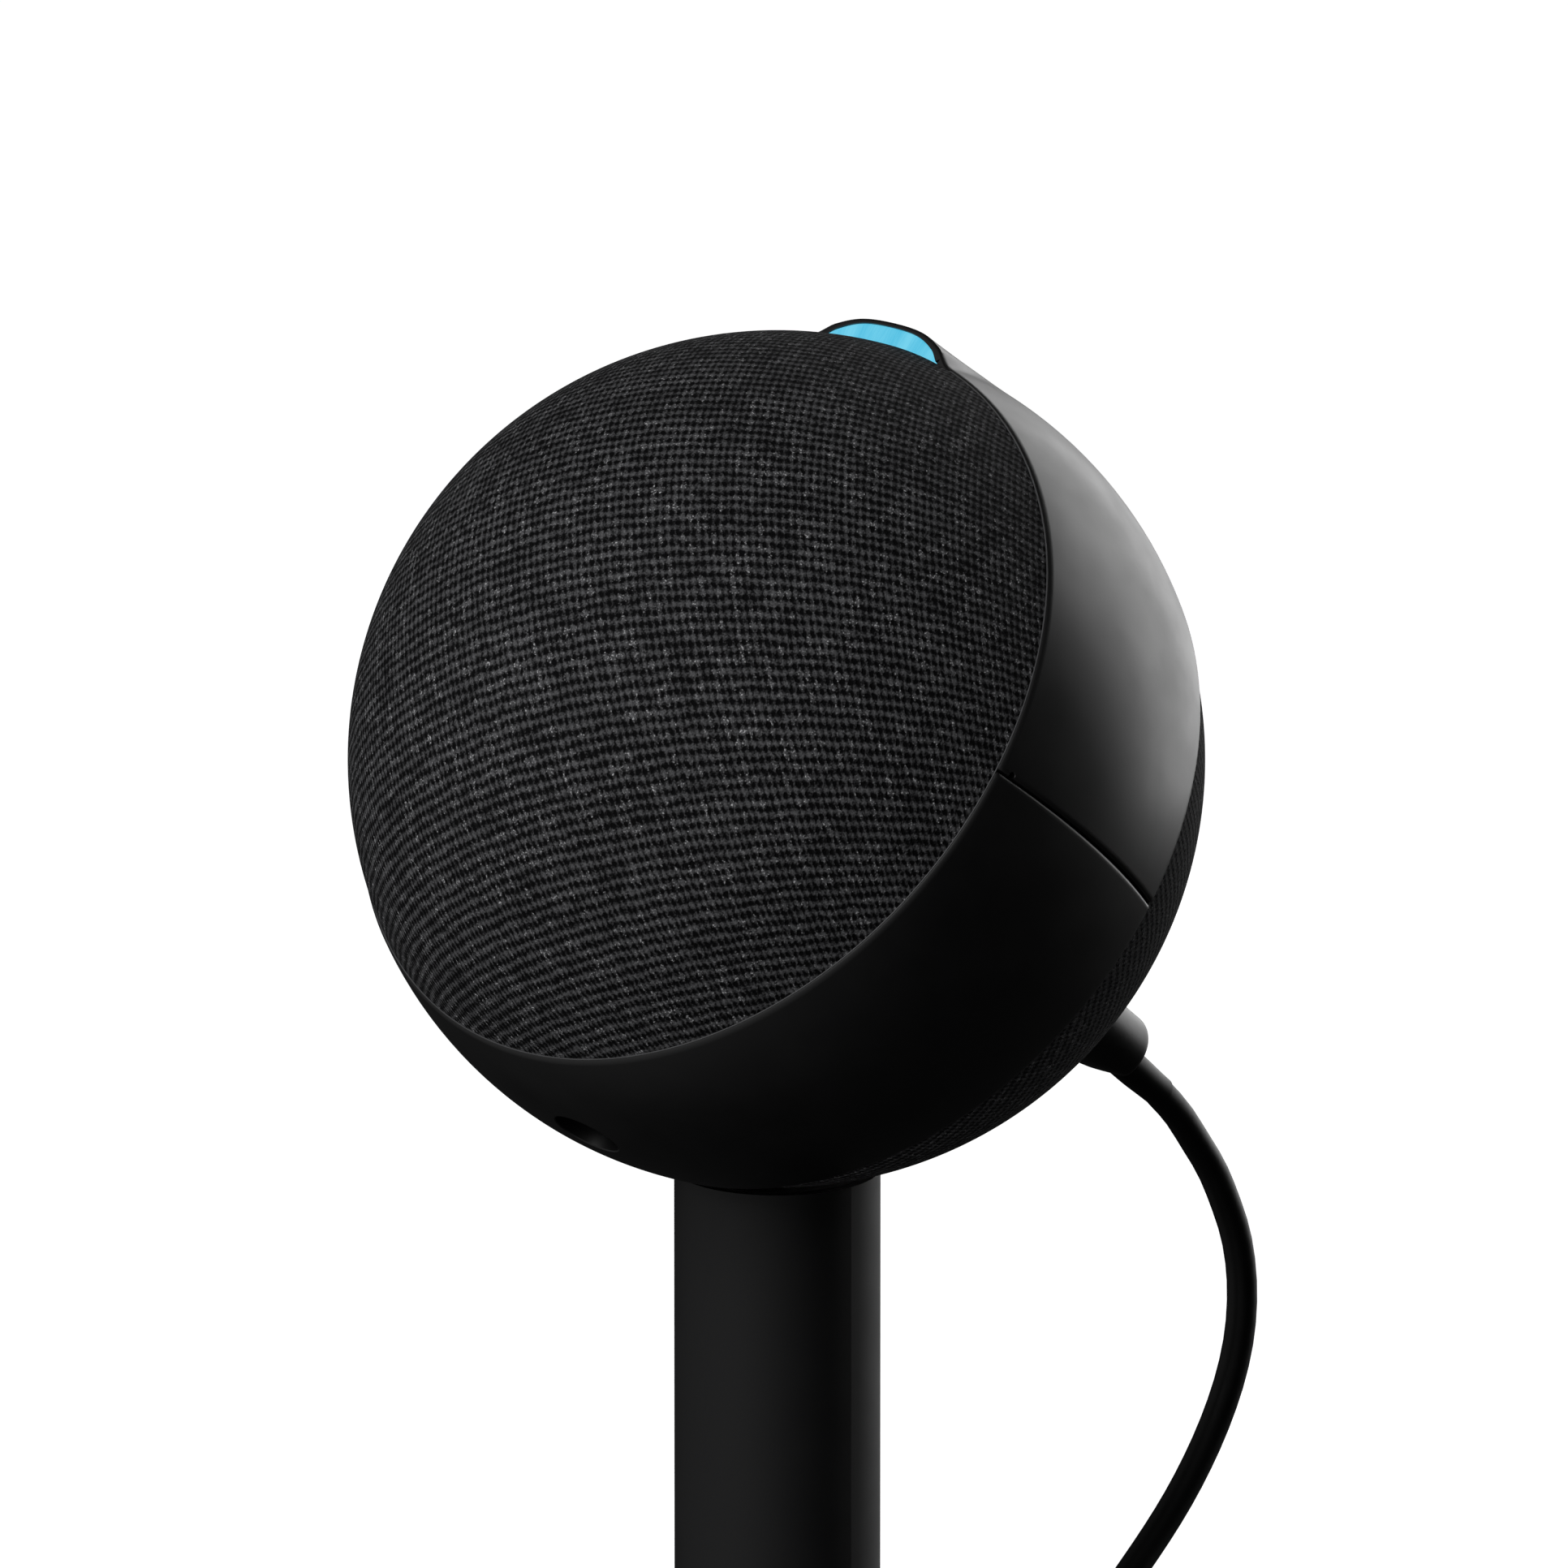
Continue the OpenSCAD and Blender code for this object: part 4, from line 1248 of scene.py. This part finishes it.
    def rear(self) -> None:
        """Makes the rear cloth, a cap with a round opening for the socket."""
        edge = math.acos((-self.rear_z + 0.05) / self.rear_cloth)
        start = math.asin((self.socket + 0.05) / self.rear_cloth)
        out = np.linspace(start, edge, 64)
        inner = self.rear_cloth - self.cloth_wall
        back = np.linspace(edge - 0.006, start, 24)
        profile = np.concatenate(
            [
                np.stack([self.rear_cloth * np.sin(out), -self.rear_cloth * np.cos(out)], axis=-1),
                np.stack([inner * np.sin(back), -inner * np.cos(back)], axis=-1),
            ]
        )
        self.cloth("rear_cloth", profile, -1.0, "rear_fabric")


@dataclass(frozen=True)
class Plug:
    """Straight barrel plug on the ball's axis, cut away below towards the strain relief."""

    wardrobe: Wardrobe
    radius: float = 4.7
    start: float = 50.7
    end: float = 76.7
    round_end: float = 0.9
    cut_drop: float = 3.0
    cut_slope: float = 0.27
    relief_end: float = 86.45
    relief_drop: float = 0.6

    def build(self) -> None:
        """Makes the plug's moulding and its strain relief."""
        bend = np.linspace(0, np.pi / 2, 9)[1:]
        shoulder = self.end - self.round_end
        straight = np.linspace(self.start, shoulder, 60)
        edge = self.radius - self.round_end * (1 - np.cos(bend))
        along = np.concatenate([straight, shoulder + self.round_end * np.sin(bend), [self.end]])
        radius = np.concatenate([self.radius + 0 * straight, edge, [edge[-1] * 0.5]])
        sides = 96
        turn = np.arange(sides) * 2 * np.pi / sides
        below = np.maximum(-np.cos(turn), 1e-6)
        limit = (self.cut_drop + self.cut_slope * (self.end - along))[:, None] / below[None]
        uncut = 99.0
        limit = np.where(np.cos(turn)[None] < -0.02, limit, uncut)
        keen = 14.0  # how sharply the cut meets the round side
        reach = (radius[:, None] ** -keen + limit**-keen) ** (-1 / keen)
        points = np.stack(
            [reach * np.sin(turn), reach * np.cos(turn), -along[:, None] + 0 * turn], axis=-1
        ).reshape(-1, 3)
        faces = quads(len(along), sides, wrap_cols=True) + ring_ends(len(along), sides)
        body = piece("plug_moulding", (in_row(points), faces), self.wardrobe.get("plug_plastic"), sharp=50)
        settle(body, "head", "plug_plastic", "plug_body")
        s = np.linspace(self.end - 0.4, self.relief_end, 40)
        taper = 2.15 - 0.2 * smooth_step(s, self.end + 3, self.relief_end)
        profile = np.stack([np.append(taper, 1.6), -np.append(s, self.relief_end)], axis=-1)
        points, faces = lathe(profile, 48)
        points = points - [0, self.relief_drop, 0]
        relief = piece("plug_sleeve", (in_row(points), faces), self.wardrobe.get("cord_jacket"), sharp=50)
        settle(relief, "head", "cord_jacket", "plug_relief")


# ---------------------------------------------------------------- dressing the rest


@dataclass(frozen=True)
class Dresser:
    """Gives every node of the frame its slot's finish."""

    wardrobe: Wardrobe
    frame: dict

    def dress(self) -> None:
        """Replaces each node's plain material."""
        for part in self.frame["record"]["subparts"]:
            made = self.frame["nodes"][part["node"]]
            made.data.materials.clear()
            made.data.materials.append(self.wardrobe.get(part["material_slot"]))
            LOG.info("%s: %s", part["node"], part["material_slot"])


def main() -> None:
    """Builds the whole scene."""
    logging.basicConfig(level=logging.INFO, format="%(message)s")
    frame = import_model()
    wardrobe = Wardrobe()
    Studio().build()
    PowerLead(wardrobe).build()
    Ball(wardrobe).build()
    Plug(wardrobe).build()
    Dresser(wardrobe, frame).dress()


if __name__ == "__main__":
    main()
